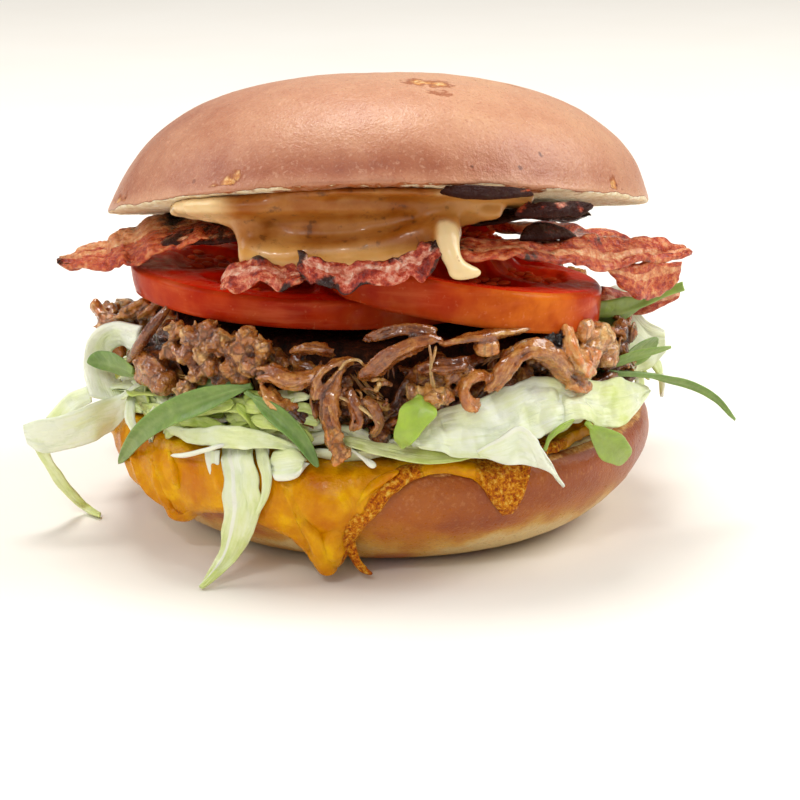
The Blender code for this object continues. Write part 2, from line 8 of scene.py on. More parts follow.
import bpy
import numpy as np
from mathutils.kdtree import KDTree
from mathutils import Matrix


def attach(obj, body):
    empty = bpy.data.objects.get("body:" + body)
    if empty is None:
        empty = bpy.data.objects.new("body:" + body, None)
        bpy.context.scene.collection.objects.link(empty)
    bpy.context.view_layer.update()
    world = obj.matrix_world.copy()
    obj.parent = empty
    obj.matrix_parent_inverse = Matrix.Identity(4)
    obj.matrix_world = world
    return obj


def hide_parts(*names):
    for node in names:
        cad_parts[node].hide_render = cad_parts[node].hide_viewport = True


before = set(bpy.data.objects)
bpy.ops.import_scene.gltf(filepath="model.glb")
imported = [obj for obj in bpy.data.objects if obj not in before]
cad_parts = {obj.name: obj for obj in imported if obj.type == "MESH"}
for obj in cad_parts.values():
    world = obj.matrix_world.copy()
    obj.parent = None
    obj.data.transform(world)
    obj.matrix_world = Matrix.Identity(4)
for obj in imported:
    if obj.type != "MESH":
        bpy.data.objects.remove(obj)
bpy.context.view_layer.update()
TAU = 2 * math.pi
RNG = np.random.default_rng(20260)

# ---------------------------------------------------------------------------
# camera
# ---------------------------------------------------------------------------
F_PX = 2952.0
PITCH = math.radians(16.6)
EYE = np.array([3.05, -569.0, 190.4])
AHEAD = np.array([0.0, math.cos(PITCH), -math.sin(PITCH)])
UP = np.array([0.0, math.sin(PITCH), math.cos(PITCH)])
RIGHT = np.array([1.0, 0.0, 0.0])

cam_data = bpy.data.cameras.new("camera")
cam_data.sensor_width = 36.0
cam_data.lens = F_PX * 36.0 / 800.0
cam_data.clip_start = 0.01
cam = bpy.data.objects.new("camera", cam_data)
cam.location = EYE * 0.001
cam.rotation_euler = (math.pi / 2 - PITCH, 0.0, 0.0)
bpy.context.scene.collection.objects.link(cam)
bpy.context.scene.camera = cam


def ray(px, py):
    return AHEAD + RIGHT * (px - 400) / F_PX + UP * (400 - py) / F_PX


def at_y(px, py, y):
    d = ray(px, py)
    return EYE + d * (y - EYE[1]) / d[1]


def wall(px, py, radius):
    """The point seen at a pixel on an upright cylinder about the burger's axis."""
    d = ray(px, py)
    a = d[0] ** 2 + d[1] ** 2
    b = 2 * (EYE[0] * d[0] + EYE[1] * d[1])
    c = EYE[0] ** 2 + EYE[1] ** 2 - radius**2
    disc = b * b - 4 * a * c
    k = (-b - math.sqrt(disc)) / (2 * a) if disc > 0 else -b / (2 * a)
    return EYE + d * k


# ---------------------------------------------------------------------------
# numpy helpers
# ---------------------------------------------------------------------------
def sm(x):
    x = np.clip(x, 0.0, 1.0)
    return x * x * (3 - 2 * x)


def bell(a, centre, width):
    d = (a - centre + 180.0) % 360.0 - 180.0
    return np.exp(-((d / width) ** 2))


def _lattice(ix, iy, iz, seed):
    h = (ix * 374761393 + iy * 668265263 + iz * 1103515245 + seed * 974634777) & 0xFFFFFFFF
    h = ((h ^ (h >> 13)) * 1274126177) & 0xFFFFFFFF
    h = ((h ^ (h >> 16)) * 2246822519) & 0xFFFFFFFF
    h ^= h >> 15
    return h / 2147483647.5 - 1.0


def noise(P, size, seed=0):
    """Smooth value noise in -1..1 with features of a size in mm."""
    Q = np.asarray(P, float) / size + 1000.0
    I = np.floor(Q).astype(np.int64)
    f = Q - I
    f = f * f * f * (f * (f * 6 - 15) + 10)
    out = 0.0
    for dx in (0, 1):
        for dy in (0, 1):
            for dz in (0, 1):
                w = (
                    (f[..., 0] if dx else 1 - f[..., 0])
                    * (f[..., 1] if dy else 1 - f[..., 1])
                    * (f[..., 2] if dz else 1 - f[..., 2])
                )
                out = out + w * _lattice(I[..., 0] + dx, I[..., 1] + dy, I[..., 2] + dz, seed)
    return out


def fbm(P, size, octaves=3, seed=0):
    total, amp, norm = 0.0, 1.0, 0.0
    for k in range(octaves):
        total = total + amp * noise(P, size / 2**k, seed + 17 * k)
        norm += amp
        amp *= 0.5
    return total / norm


def spline(points, t):
    """Catmull-Rom through the points, at t in 0..1."""
    p = np.asarray(points, float)
    t = np.clip(np.asarray(t, float), 0, 1)
    if len(p) == 2:
        return p[0] + (p[1] - p[0]) * t[..., None]
    p = np.vstack([2 * p[0] - p[1], p, 2 * p[-1] - p[-2]])
    n = len(p) - 3
    x = t * n
    i = np.minimum(x.astype(int), n - 1)
    f = (x - i)[..., None]
    a, b, c, d = p[i], p[i + 1], p[i + 2], p[i + 3]
    return 0.5 * (2 * b + (c - a) * f + (2 * a - 5 * b + 4 * c - d) * f**2 + (3 * b - a - 3 * c + d) * f**3)


def unit(v):
    return v / np.maximum(np.linalg.norm(v, axis=-1, keepdims=True), 1e-9)


def normals(P):
    du, dv = np.gradient(P, axis=0), np.gradient(P, axis=1)
    return unit(np.cross(du, dv))


class Bag:
    """Collects closed shapes into one mesh, with float attributes."""

    def __init__(self):
        self.v, self.q, self.t, self.a, self.n = [], [], [], {}, 0

    def add(self, V, quads=None, tris=None, **attrs):
        V = np.asarray(V, float).reshape(-1, 3)
        quads = np.zeros((0, 4), int) if quads is None else np.asarray(quads, int)
        tris = np.zeros((0, 3), int) if tris is None else np.asarray(tris, int)
        vol = 0.0
        c = V.mean(0)
        for F in (quads[:, [0, 1, 2]], quads[:, [0, 2, 3]], tris):
            if len(F):
                A, B, C = V[F[:, 0]] - c, V[F[:, 1]] - c, V[F[:, 2]] - c
                vol += np.einsum("ij,ij->", A, np.cross(B, C))
        if vol < 0:
            quads, tris = quads[:, ::-1], tris[:, ::-1]
        self.v.append(V)
        self.q.append(quads + self.n)
        self.t.append(tris + self.n)
        for key in set(self.a) | set(attrs):
            value = attrs.get(key, 0.0)
            value = np.broadcast_to(np.asarray(value, float).ravel(), (len(V),)) if np.size(value) == 1 else np.asarray(value, float).ravel()
            self.a.setdefault(key, [np.zeros(self.n)] if self.n else []).append(value)
        self.n += len(V)

    def make(self, name, material, slot, *nodes, sharp=None):
        V = np.concatenate(self.v)
        V[:, 2] = np.where(V[:, 2] < 0.4, 0.05 + 0.35 * np.exp((V[:, 2] - 0.4) / 0.35), V[:, 2])
        V = V.astype(np.float32) * 0.001
        quads = np.concatenate(self.q) if self.q else np.zeros((0, 4), int)
        tris = np.concatenate(self.t) if self.t else np.zeros((0, 3), int)
        me = bpy.data.meshes.new(name)
        me.vertices.add(len(V))
        me.vertices.foreach_set("co", V.ravel())
        loops = np.concatenate([quads.ravel(), tris.ravel()]).astype(np.int32)
        me.loops.add(len(loops))
        me.loops.foreach_set("vertex_index", loops)
        me.polygons.add(len(quads) + len(tris))
        starts = np.concatenate([np.arange(len(quads)) * 4, len(quads) * 4 + np.arange(len(tris)) * 3])
        me.polygons.foreach_set("loop_start", starts.astype(np.int32))
        me.update(calc_edges=True)
        me.validate()
        for key, parts in self.a.items():
            at = me.attributes.new(key, "FLOAT", "POINT")
            at.data.foreach_set("value", np.concatenate(parts).astype(np.float32))
        me.materials.append(material)
        if sharp is None:
            me.shade_smooth()
        else:
            me.set_sharp_from_angle(angle=math.radians(sharp))
        ob = bpy.data.objects.new(name, me)
        bpy.context.scene.collection.objects.link(ob)
        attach(ob, "root")
        if nodes:
            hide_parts(*nodes)
        return ob


def melt(bag, voxel):
    """Fuses the shapes of a bag into one skin; vertices in mm, quads and normals."""
    me = bpy.data.meshes.new("melt")
    V = np.concatenate(bag.v).astype(np.float32) * 0.001
    quads, tris = np.concatenate(bag.q), np.concatenate(bag.t)
    me.vertices.add(len(V))
    me.vertices.foreach_set("co", V.ravel())
    loops = np.concatenate([quads.ravel(), tris.ravel()]).astype(np.int32)
    me.loops.add(len(loops))
    me.loops.foreach_set("vertex_index", loops)
    me.polygons.add(len(quads) + len(tris))
    starts = np.concatenate([np.arange(len(quads)) * 4, len(quads) * 4 + np.arange(len(tris)) * 3])
    me.polygons.foreach_set("loop_start", starts.astype(np.int32))
    me.update(calc_edges=True)
    ob = bpy.data.objects.new("melt", me)
    bpy.context.scene.collection.objects.link(ob)
    remesh = ob.modifiers.new("Melt", "REMESH")
    remesh.mode = "VOXEL"
    remesh.voxel_size = voxel * 0.001
    graph = bpy.context.evaluated_depsgraph_get()
    out = bpy.data.meshes.new_from_object(ob.evaluated_get(graph))
    P = np.empty(len(out.vertices) * 3, np.float32)
    N = np.empty(len(out.vertices) * 3, np.float32)
    out.vertices.foreach_get("co", P)
    out.vertex_normals.foreach_get("vector", N)
    total = np.empty(len(out.polygons), np.int32)
    out.polygons.foreach_get("loop_total", total)
    index = np.empty(len(out.loops), np.int32)
    out.loops.foreach_get("vertex_index", index)
    start = np.concatenate([[0], np.cumsum(total)[:-1]])
    q = index[start[total == 4][:, None] + np.arange(4)]
    t = index[start[total == 3][:, None] + np.arange(3)]
    bpy.data.objects.remove(ob)
    bpy.data.meshes.remove(me)
    bpy.data.meshes.remove(out)
    return P.reshape(-1, 3).astype(float) * 1000.0, q.astype(int), t.astype(int), N.reshape(-1, 3).astype(float)


def smoothed(V, quads, rounds):
    """Positions averaged with their neighbours, to find hollows."""
    E = np.concatenate([quads[:, [0, 1]], quads[:, [1, 2]], quads[:, [2, 3]], quads[:, [3, 0]]])
    n = len(V)
    count = np.bincount(E[:, 0], minlength=n) + np.bincount(E[:, 1], minlength=n) + 1e-9
    S = V.copy()
    for _ in range(rounds):
        S = np.stack([(np.bincount(E[:, 0], S[E[:, 1], k], n) + np.bincount(E[:, 1], S[E[:, 0], k], n)) / count for k in range(3)], -1)
    return S


def solid_sheet(P, thick):
    """A closed solid around a grid of points, thick may vary over the grid."""
    nu, nv = P.shape[:2]
    N = normals(P)
    h = np.broadcast_to(np.asarray(thick, float), (nu, nv))[..., None] / 2
    V = np.concatenate([(P + N * h).reshape(-1, 3), (P - N * h).reshape(-1, 3)])
    idx = np.arange(nu * nv).reshape(nu, nv)
    top = np.stack([idx[:-1, :-1], idx[1:, :-1], idx[1:, 1:], idx[:-1, 1:]], -1).reshape(-1, 4)
    bottom = top[:, ::-1] + nu * nv
    loop = np.concatenate([idx[:-1, 0], idx[-1, :-1], idx[:0:-1, -1], idx[0, :0:-1]])
    nxt = np.roll(loop, -1)
    side = np.stack([nxt, loop, loop + nu * nv, nxt + nu * nv], -1)
    return V, np.concatenate([top, bottom, side])


def twice(a):
    return np.concatenate([np.asarray(a).ravel(), np.asarray(a).ravel()])


def frames_along(C):
    T = unit(np.gradient(C, axis=0))
    N = np.zeros_like(T)
    n = np.cross(T[0], [0.3, 0.2, 1.0])
    if np.linalg.norm(n) < 1e-3:
        n = np.cross(T[0], [1.0, 0.0, 0.0])
    n = n / np.linalg.norm(n)
    for i in range(len(T)):
        n = n - T[i] * np.dot(n, T[i])
        n = n / max(np.linalg.norm(n), 1e-9)
        N[i] = n
    return T, N, np.cross(T, N)


def tube(points, radius, nseg=14, nring=8, flat=1.0, taper=0.25, ridges=0.0, rng=RNG, lump=0.0, twist=0.0):
    """A closed strand along points.  radius may be a number or per-point."""
    t = np.linspace(0, 1, nseg)
    C = spline(points, t)
    T, N, B = frames_along(C)
    if np.ndim(radius):
        r = spline(np.stack([radius] * 3, -1), t)[:, 0]
    else:
        r = np.full(nseg, float(radius))
    ends = np.sqrt(np.clip(1 - (np.abs(2 * t - 1)) ** 6, 0, 1))
    r = r * (taper + (1 - taper) * ends)
    phi = np.linspace(0, TAU, nring, endpoint=False)
    a, b = rng.uniform(0, TAU, 2)
    tt = t[:, None]
    shape = 1 + ridges * (0.6 * np.sin(3 * phi + a + twist * tt) + 0.4 * np.sin(5 * phi + b - twist * tt))
    if lump:
        shape = shape * (1 + lump * noise(np.stack([tt * 9 + 0 * phi, phi * 1.3 + 0 * tt, 0 * tt + 0 * phi + a * 7], -1), 1.0, 5))
    rad = r[:, None] * shape
    V = C[:, None] + N[:, None] * (np.cos(phi) * rad)[..., None] + B[:, None] * (np.sin(phi) * rad * flat)[..., None]
    V = V.reshape(-1, 3)
    idx = np.arange(nseg * nring).reshape(nseg, nring)
    nx = np.roll(idx, -1, axis=1)
    quads = np.stack([idx[:-1], idx[1:], nx[1:], nx[:-1]], -1).reshape(-1, 4)
    first, last = len(V), len(V) + 1
    V = np.vstack([V, C[0] - T[0] * r[0] * 0.5, C[-1] + T[-1] * r[-1] * 0.5])
    tris = np.concatenate(
        [
            np.stack([np.full(nring, first), idx[0], nx[0]], -1),
            np.stack([np.full(nring, last), nx[-1], idx[-1]], -1),
        ]
    )
    length = float(np.linalg.norm(np.diff(C, axis=0), axis=1).sum())
    fu = np.append((t[:, None] * length + 0 * phi).ravel(), [0, length])
    fv = np.append((phi[None] + 0 * tt).ravel(), [0, 0])
    return V, quads, tris, fu, fv


def blob(centre, radii, axes, nlon=22, nlat=14, rough=0.25, size=4.0, ridge=0.1, seed=0):
    """A rough lump: an ellipsoid pushed about by noise."""
    lat = (np.arange(1, nlat) / nlat - 0.5) * math.pi
    lon = np.linspace(0, TAU, nlon, endpoint=False)
    d = np.stack(
        [
            np.cos(lat)[:, None] * np.cos(lon),
            np.cos(lat)[:, None] * np.sin(lon),
            np.sin(lat)[:, None] + 0 * lon,
        ],
        -1,
    ).reshape(-1, 3)
    d = np.vstack([d, [0, 0, -1], [0, 0, 1]])
    # squarer than a ball, so that it reads as a torn piece
    d = d / (np.abs(d) ** 3).sum(-1, keepdims=True) ** (1 / 3)
    local = d * np.asarray(radii)
    k = 1 + rough * fbm(local + seed * 13.7, size, 3, seed)
    ang = np.arctan2(d[:, 2], d[:, 1])
    k = k * (1 + ridge * np.sin(ang * 7 + seed + 1.5 * noise(local, 5.0, seed)))
    V = centre + (local * k[:, None]) @ np.asarray(axes)
    n = (nlat - 1) * nlon
    idx = np.arange(n).reshape(nlat - 1, nlon)
    nx = np.roll(idx, -1, axis=1)
    quads = np.stack([idx[:-1], nx[:-1], nx[1:], idx[1:]], -1).reshape(-1, 4)
    tris = np.concatenate(
        [
            np.stack([np.full(nlon, n), nx[0], idx[0]], -1),
            np.stack([np.full(nlon, n + 1), idx[-1], nx[-1]], -1),
        ]
    )
    return V, quads, tris, local[:, 0], ang


def basis(x, rng=RNG, roll=None):
    """Rows are the axes of a piece whose long axis is x."""
    x = unit(np.asarray(x, float))
    r = rng.normal(size=3) if roll is None else np.asarray(roll, float)
    y = unit(np.cross(x, r))
    return np.stack([x, y, np.cross(x, y)])


# ---------------------------------------------------------------------------
# materials
# ---------------------------------------------------------------------------
def lin(r, g, b):
    """sRGB 0-255 to scene-linear."""
    c = np.array([r, g, b]) / 255.0
    c = np.where(c <= 0.04045, c / 12.92, ((c + 0.055) / 1.055) ** 2.4)
    return (float(c[0]), float(c[1]), float(c[2]), 1.0)


class Mat:
    def __init__(self, name, rough=0.5, spec=0.5, sss=0.0, sss_radius=(1.0, 0.4, 0.2), sss_scale=0.003, coat=0.0, coat_rough=0.1):
        self.m = bpy.data.materials.new(name)
        self.m.use_nodes = True
        self.t = self.m.node_tree
        self.b = self.t.nodes["Principled BSDF"]
        self.b.inputs["Roughness"].default_value = rough
        self.b.inputs["Specular IOR Level"].default_value = spec
        self.b.inputs["Subsurface Weight"].default_value = sss
        self.b.inputs["Subsurface Radius"].default_value = sss_radius
        self.b.inputs["Subsurface Scale"].default_value = sss_scale
        self.b.inputs["Coat Weight"].default_value = coat
        self.b.inputs["Coat Roughness"].default_value = coat_rough
        self.co = self.t.nodes.new("ShaderNodeTexCoord").outputs["Object"]

    def put(self, socket, value):
        if isinstance(value, bpy.types.NodeSocket):
            self.t.links.new(value, socket)
        elif isinstance(value, (tuple, list)) and len(value) == 3 and socket.type == "RGBA":
            socket.default_value = (*value, 1.0)
        else:
            socket.default_value = value

    def attr(self, name):
        n = self.t.nodes.new("ShaderNodeAttribute")
        n.attribute_name = name
        return n.outputs["Fac"]

    def noise(self, size, detail=3.0, rough=0.55, vec=None, distort=0.0, scale=None):
        n = self.t.nodes.new("ShaderNodeTexNoise")
        n.inputs["Scale"].default_value = scale if scale is not None else 1000.0 / size
        n.inputs["Detail"].default_value = detail
        n.inputs["Roughness"].default_value = rough
        n.inputs["Distortion"].default_value = distort
        self.put(n.inputs["Vector"], self.co if vec is None else vec)
        return n.outputs["Fac"]

    def voronoi(self, size, feature="F1", vec=None, random=1.0):
        n = self.t.nodes.new("ShaderNodeTexVoronoi")
        n.feature = feature
        n.inputs["Scale"].default_value = 1000.0 / size
        n.inputs["Randomness"].default_value = random
        self.put(n.inputs["Vector"], self.co if vec is None else vec)
        return n.outputs["Distance"]

    def vec(self, x, y=0.0, z=0.0):
        n = self.t.nodes.new("ShaderNodeCombineXYZ")
        for s, v in zip(n.inputs, (x, y, z)):
            self.put(s, v)
        return n.outputs[0]

    def xyz(self, axis):
        n = self.t.nodes.new("ShaderNodeSeparateXYZ")
        self.t.links.new(self.co, n.inputs[0])
        return n.outputs[axis]

    def math(self, op, a, b=0.0, c=0.0):
        n = self.t.nodes.new("ShaderNodeMath")
        n.operation = op
        for s, v in zip(n.inputs, (a, b, c)):
            self.put(s, v)
        return n.outputs[0]

    def step(self, value, low, high, out_low=0.0, out_high=1.0):
        n = self.t.nodes.new("ShaderNodeMapRange")
        n.interpolation_type = "SMOOTHSTEP"
        self.put(n.inputs["Value"], value)
        n.inputs["From Min"].default_value = low
        n.inputs["From Max"].default_value = high
        n.inputs["To Min"].default_value = out_low
        n.inputs["To Max"].default_value = out_high
        return n.outputs[0]

    def mix(self, fac, a, b, blend="MIX"):
        n = self.t.nodes.new("ShaderNodeMix")
        n.data_type = "RGBA"
        n.blend_type = blend
        self.put(n.inputs[0], fac)
        self.put(n.inputs[6], a)
        self.put(n.inputs[7], b)
        return n.outputs[2]

    def ramp(self, fac, stops):
        n = self.t.nodes.new("ShaderNodeValToRGB")
        self.put(n.inputs["Fac"], fac)
        e = n.color_ramp.elements
        while len(e) > 1:
            e.remove(e[-1])
        e[0].position, e[0].color = stops[0]
        for p, c in stops[1:]:
            s = e.new(p)
            s.color = c
        return n.outputs["Color"]

    def colour(self, value):
        self.put(self.b.inputs["Base Color"], value)

    def rough(self, value):
        self.put(self.b.inputs["Roughness"], value)

    def bump(self, height, distance, strength=1.0, after=None):
        n = self.t.nodes.new("ShaderNodeBump")
        n.inputs["Strength"].default_value = strength
        n.inputs["Distance"].default_value = distance * 0.001
        self.put(n.inputs["Height"], height)
        if after is not None:
            self.put(n.inputs["Normal"], after)
        return n.outputs[0]

    def normal(self, value):
        self.put(self.b.inputs["Normal"], value)


def crust_material(name, stops, pale, dark):
    """Baked bun: satin crust, torn golden edge, cream crumb."""
    m = Mat(name, rough=0.42, spec=0.33, sss=0.05, sss_radius=(1.0, 0.5, 0.25), coat=0.02, coat_rough=0.3)
    bake, crumb, tear, spot = m.attr("bake"), m.attr("crumb"), m.attr("tear"), m.attr("spot")
    big = m.noise(24, 3)
    mid = m.noise(5, 5, 0.6)
    fine = m.noise(0.9, 4, 0.6)
    # the baked colour; on the crown it also carries painted shade and a painted sheen, on the heel painted shade low
    # down
    fac = m.math("ADD", bake, m.math("MULTIPLY", m.math("SUBTRACT", big, 0.5), 0.50))
    fac = m.math("ADD", fac, m.math("MULTIPLY", m.math("SUBTRACT", mid, 0.5), 0.34))
    fac = m.math("ADD", fac, m.math("MULTIPLY", m.math("SUBTRACT", fine, 0.5), 0.22))
    crust = m.ramp(fac, stops)
    # fine pale and dark speckle of a washed crust
    crust = m.mix(m.step(fine, 0.52, 0.70, 0.0, 0.30), crust, pale)
    crust = m.mix(m.step(m.noise(0.6, 3), 0.52, 0.74, 0.0, 0.45), crust, dark)
    crust = m.mix(m.step(m.voronoi(11.0), 0.06, 0.03, 0.0, 0.5), crust, lin(98, 48, 30))
    # where the skin was torn, orange and gold with a browned outline
    torn = m.math("ADD", tear, m.math("MULTIPLY", m.math("SUBTRACT", m.noise(1.7, 4, 0.65), 0.5), 1.1))
    crust = m.mix(m.step(torn, 0.28, 0.48, 0.0, 0.85), crust, lin(150, 78, 34))
    crust = m.mix(m.step(torn, 0.50, 0.92, 0.0, 0.92), crust, m.ramp(m.noise(1.1, 4, 0.7), [(0.36, lin(186, 110, 46)), (0.5, lin(214, 150, 80)), (0.64, lin(236, 198, 138))]))
    crust = m.mix(m.step(m.math("ADD", spot, m.math("MULTIPLY", m.math("SUBTRACT", fine, 0.5), 0.8)), 0.45, 0.7, 0.0, 0.85), crust, lin(86, 40, 24))
    cell = m.noise(1.4, 5, 0.65)
    bread = m.ramp(cell, [(0.3, lin(214, 182, 134)), (0.5, lin(236, 216, 178)), (0.7, lin(248, 238, 216))])
    edge = m.math("ADD", crumb, m.math("MULTIPLY", m.math("SUBTRACT", m.noise(2.2, 4), 0.5), 0.8))
    toasted = m.mix(m.step(edge, 0.32, 0.45), crust, lin(160, 82, 30))
    m.colour(m.mix(m.step(edge, 0.46, 0.60), toasted, bread))
    m.rough(m.math("ADD", m.step(edge, 0.4, 0.6, 0.34, 0.88), m.math("MULTIPLY", m.math("SUBTRACT", fine, 0.5), 0.45)))
    h = m.math("ADD", m.math("MULTIPLY", m.noise(3.4, 3, 0.5), 0.22), m.math("MULTIPLY", m.noise(0.6, 3, 0.6), 0.50))
    h = m.math("ADD", h, m.math("MULTIPLY", torn, 0.35))
    h = m.math("ADD", h, m.math("MULTIPLY", m.math("MULTIPLY", cell, m.step(edge, 0.4, 0.6)), 2.2))
    m.normal(m.bump(h, 0.36, 0.9))
    return m.m


CROWN_STOPS = [
    (0.0, lin(220, 170, 112)),
    (0.22, lin(210, 160, 118)),
    (0.42, lin(200, 147, 112)),
    (0.60, lin(188, 130, 98)),
    (0.80, lin(164, 99, 70)),
    (1.0, lin(132, 62, 42)),
]
HEEL_STOPS = [
    (0.0, lin(214, 186, 126)),
    (0.22, lin(204, 152, 60)),
    (0.40, lin(184, 117, 20)),
    (0.56, lin(172, 93, 24)),
    (0.76, lin(150, 72, 29)),
    (1.0, lin(128, 52, 22)),
]


def cheddar_material():
    m = Mat("cheddar", rough=0.3, spec=0.13, sss=0.14, sss_radius=(1.0, 0.45, 0.02), sss_scale=0.0025, coat=0.05, coat_rough=0.06)
    crisp, thin = m.attr("crisp"), m.attr("thin")
    base = m.ramp(
        m.noise(8, 5, 0.62, distort=0.5),
        [(0.28, lin(188, 98, 0)), (0.42, lin(202, 126, 0)), (0.56, lin(218, 150, 0)), (0.72, lin(244, 192, 4))],
    )
    # thin stretches let the brown bun show through
    base = m.mix(m.math("MULTIPLY", thin, 0.5), base, lin(198, 112, 8))
    grain = m.noise(0.9, 4, 0.7)
    toast = m.ramp(grain, [(0.36, lin(142, 58, 2)), (0.46, lin(192, 98, 4)), (0.55, lin(220, 142, 12)), (0.66, lin(244, 196, 84))])
    k = m.step(m.math("ADD", crisp, m.math("MULTIPLY", m.math("SUBTRACT", m.noise(2.0, 3), 0.5), 0.8)), 0.38, 0.62)
    m.colour(m.mix(k, base, toast))
    m.rough(m.math("ADD", m.math("MULTIPLY", k, 0.35), m.math("MULTIPLY", m.noise(4, 3), 0.5)))
    h = m.math("ADD", m.math("MULTIPLY", m.noise(2.6, 4, 0.65), 0.75), m.math("MULTIPLY", m.math("MULTIPLY", grain, k), 1.8))
    m.normal(m.bump(h, 0.6, 0.9))
    return m.m


def lettuce_material():
    m = Mat("lettuce", rough=0.34, spec=0.35, sss=0.30, sss_radius=(0.95, 1.0, 0.6), sss_scale=0.002, coat=0.06, coat_rough=0.2)
    m.b.inputs["Transmission Weight"].default_value = 0.0
    rib, shade, lu, lv = m.attr("rib"), m.attr("tint"), m.attr("lu"), m.attr("lv")
    n = m.noise(6, 4, 0.6)
    f = m.math("ADD", shade, m.math("MULTIPLY", m.math("SUBTRACT", n, 0.5), 0.75))
    # fine veins that run the length of the leaf
    run = m.noise(1, 4, 0.6, vec=m.vec(m.math("MULTIPLY", lu, 0.10), m.math("MULTIPLY", lv, 1.15), m.math("MULTIPLY", shade, 4.0)), scale=1.0, distort=0.35)
    f = m.math("ADD", f, m.math("MULTIPLY", m.math("SUBTRACT", run, 0.5), 0.55))
    leaf = m.ramp(
        f,
        [
            (0.0, lin(238, 244, 218)),
            (0.28, lin(226, 234, 176)),
            (0.52, lin(202, 216, 122)),
            (0.78, lin(166, 188, 66)),
            (1.0, lin(112, 138, 34)),
        ],
    )
    leaf = m.mix(m.step(run, 0.56, 0.70, 0.0, 0.35), leaf, lin(244, 252, 216))
    # a faint net of side veins
    net = m.voronoi(1000.0, "DISTANCE_TO_EDGE", vec=m.vec(m.math("ADD", m.math("MULTIPLY", lu, 0.08), m.math("MULTIPLY", run, 0.9)), m.math("ADD", m.math("MULTIPLY", lv, 0.22), m.math("MULTIPLY", n, 1.3)), shade))
    leaf = m.mix(m.step(net, 0.0, 0.16, 0.16, 0.0), leaf, lin(160, 180, 104))
    m.colour(m.mix(m.step(rib, 0.35, 0.85), leaf, lin(236, 238, 216)))
    m.rough(m.step(n, 0.3, 0.7, 0.26, 0.46))
    h = m.math("ADD", m.math("MULTIPLY", n, 0.6), m.math("MULTIPLY", run, 0.9))
    h = m.math("ADD", h, m.math("MULTIPLY", m.noise(1.6, 3), 0.3))
    h = m.math("ADD", h, m.step(net, 0.0, 0.16, -0.14, 0.0))
    m.normal(m.bump(h, 0.45, 0.8))
    return m.m


def rocket_material():
    m = Mat("rocket", rough=0.36, spec=0.5, sss=0.22, sss_radius=(0.4, 1.0, 0.25), sss_scale=0.002, coat=0.15, coat_rough=0.3)
    vein, shade = m.attr("vein"), m.attr("tint")
    f = m.math("ADD", shade, m.math("MULTIPLY", m.math("SUBTRACT", m.noise(5, 3), 0.5), 0.5))
    f = m.math("ADD", f, m.math("MULTIPLY", m.math("SUBTRACT", m.noise(1.2, 3), 0.5), 0.25))
    leaf = m.ramp(
        f,
        [
            (0.0, lin(40, 70, 14)),
            (0.3, lin(80, 112, 36)),
            (0.55, lin(120, 146, 66)),
            (0.75, lin(146, 168, 72)),
            (1.0, lin(168, 196, 58)),
        ],
    )
    m.colour(m.mix(m.math("MULTIPLY", vein, 0.20), leaf, lin(170, 188, 120)))
    m.rough(m.step(m.noise(3.0, 3), 0.3, 0.7, 0.30, 0.5))
    h = m.math("ADD", m.math("MULTIPLY", vein, -0.55), m.math("MULTIPLY", m.noise(1.1, 4), 0.7))
    m.normal(m.bump(h, 0.3, 0.7))
    return m.m


def chicken_material():
    m = Mat("pulled_chicken", rough=0.3, spec=0.16, sss=0.06, sss_radius=(1.0, 0.4, 0.15), sss_scale=0.001, coat=1.0, coat_rough=0.06)
    m.b.inputs["Coat IOR"].default_value = 1.6
    tint, fu, fv, fw, deep, orange, grainy = m.attr("tint"), m.attr("fu"), m.attr("fv"), m.attr("fw"), m.attr("deep"), m.attr("orange"), m.attr("grainy")
    # fibres: long along the piece, half a millimetre across it
    streak = m.noise(1, 3, 0.6, vec=m.vec(m.math("MULTIPLY", fu, 0.24), m.math("MULTIPLY", fv, 1.7), m.math("MULTIPLY", fw, 1.7)), scale=1.0, distort=0.25)
    patch = m.noise(2.4, 5, 0.7)
    crumb = m.noise(0.9, 4, 0.7)
    plain = m.math("SUBTRACT", 1.0, m.math("MULTIPLY", grainy, 0.7))
    f = m.math("ADD", tint, m.math("MULTIPLY", m.math("MULTIPLY", m.math("SUBTRACT", streak, 0.5), plain), 0.70))
    f = m.math("ADD", f, m.math("MULTIPLY", m.math("SUBTRACT", patch, 0.5), 1.10))
    f = m.math("ADD", f, m.math("MULTIPLY", m.math("SUBTRACT", crumb, 0.5), 0.60))
    meat = m.ramp(
        f,
        [
            (0.0, lin(50, 18, 5)),
            (0.2, lin(96, 42, 12)),
            (0.4, lin(138, 76, 26)),
            (0.6, lin(172, 108, 42)),
            (0.8, lin(204, 148, 72)),
            (1.0, lin(236, 196, 126)),
        ],
    )
    # reddish-brown glaze over parts of it, and orange spice on the thick bits
    glaze = m.step(m.noise(4.0, 3), 0.46, 0.64, 0.0, 0.70)
    meat = m.mix(glaze, meat, m.ramp(f, [(0.2, lin(84, 28, 6)), (0.6, lin(146, 66, 18)), (0.9, lin(196, 116, 50))]))
    k = m.math("MULTIPLY", orange, m.step(m.noise(1.9, 4), 0.38, 0.62, 0.25, 1.0))
    meat = m.mix(k, meat, lin(214, 118, 26))
    # near black in hollows and deep in the heap as painted shade; also the own dark of the glazed nugget
    m.colour(m.mix(m.step(deep, 0.05, 1.0, 0.0, 0.94), meat, lin(26, 8, 2)))
    m.rough(m.step(m.noise(1.3, 4), 0.35, 0.7, 0.12, 0.42))
    h = m.math("ADD", m.math("MULTIPLY", m.math("MULTIPLY", streak, plain), 1.1), m.math("MULTIPLY", crumb, m.math("ADD", 0.45, m.math("MULTIPLY", grainy, 0.5))))
    m.normal(m.bump(h, 0.55, 1.0))
    m.put(m.b.inputs["Coat Normal"], m.bump(m.math("ADD", m.noise(1.9, 2), m.math("MULTIPLY", streak, 0.2)), 0.5, 0.8))
    return m.m


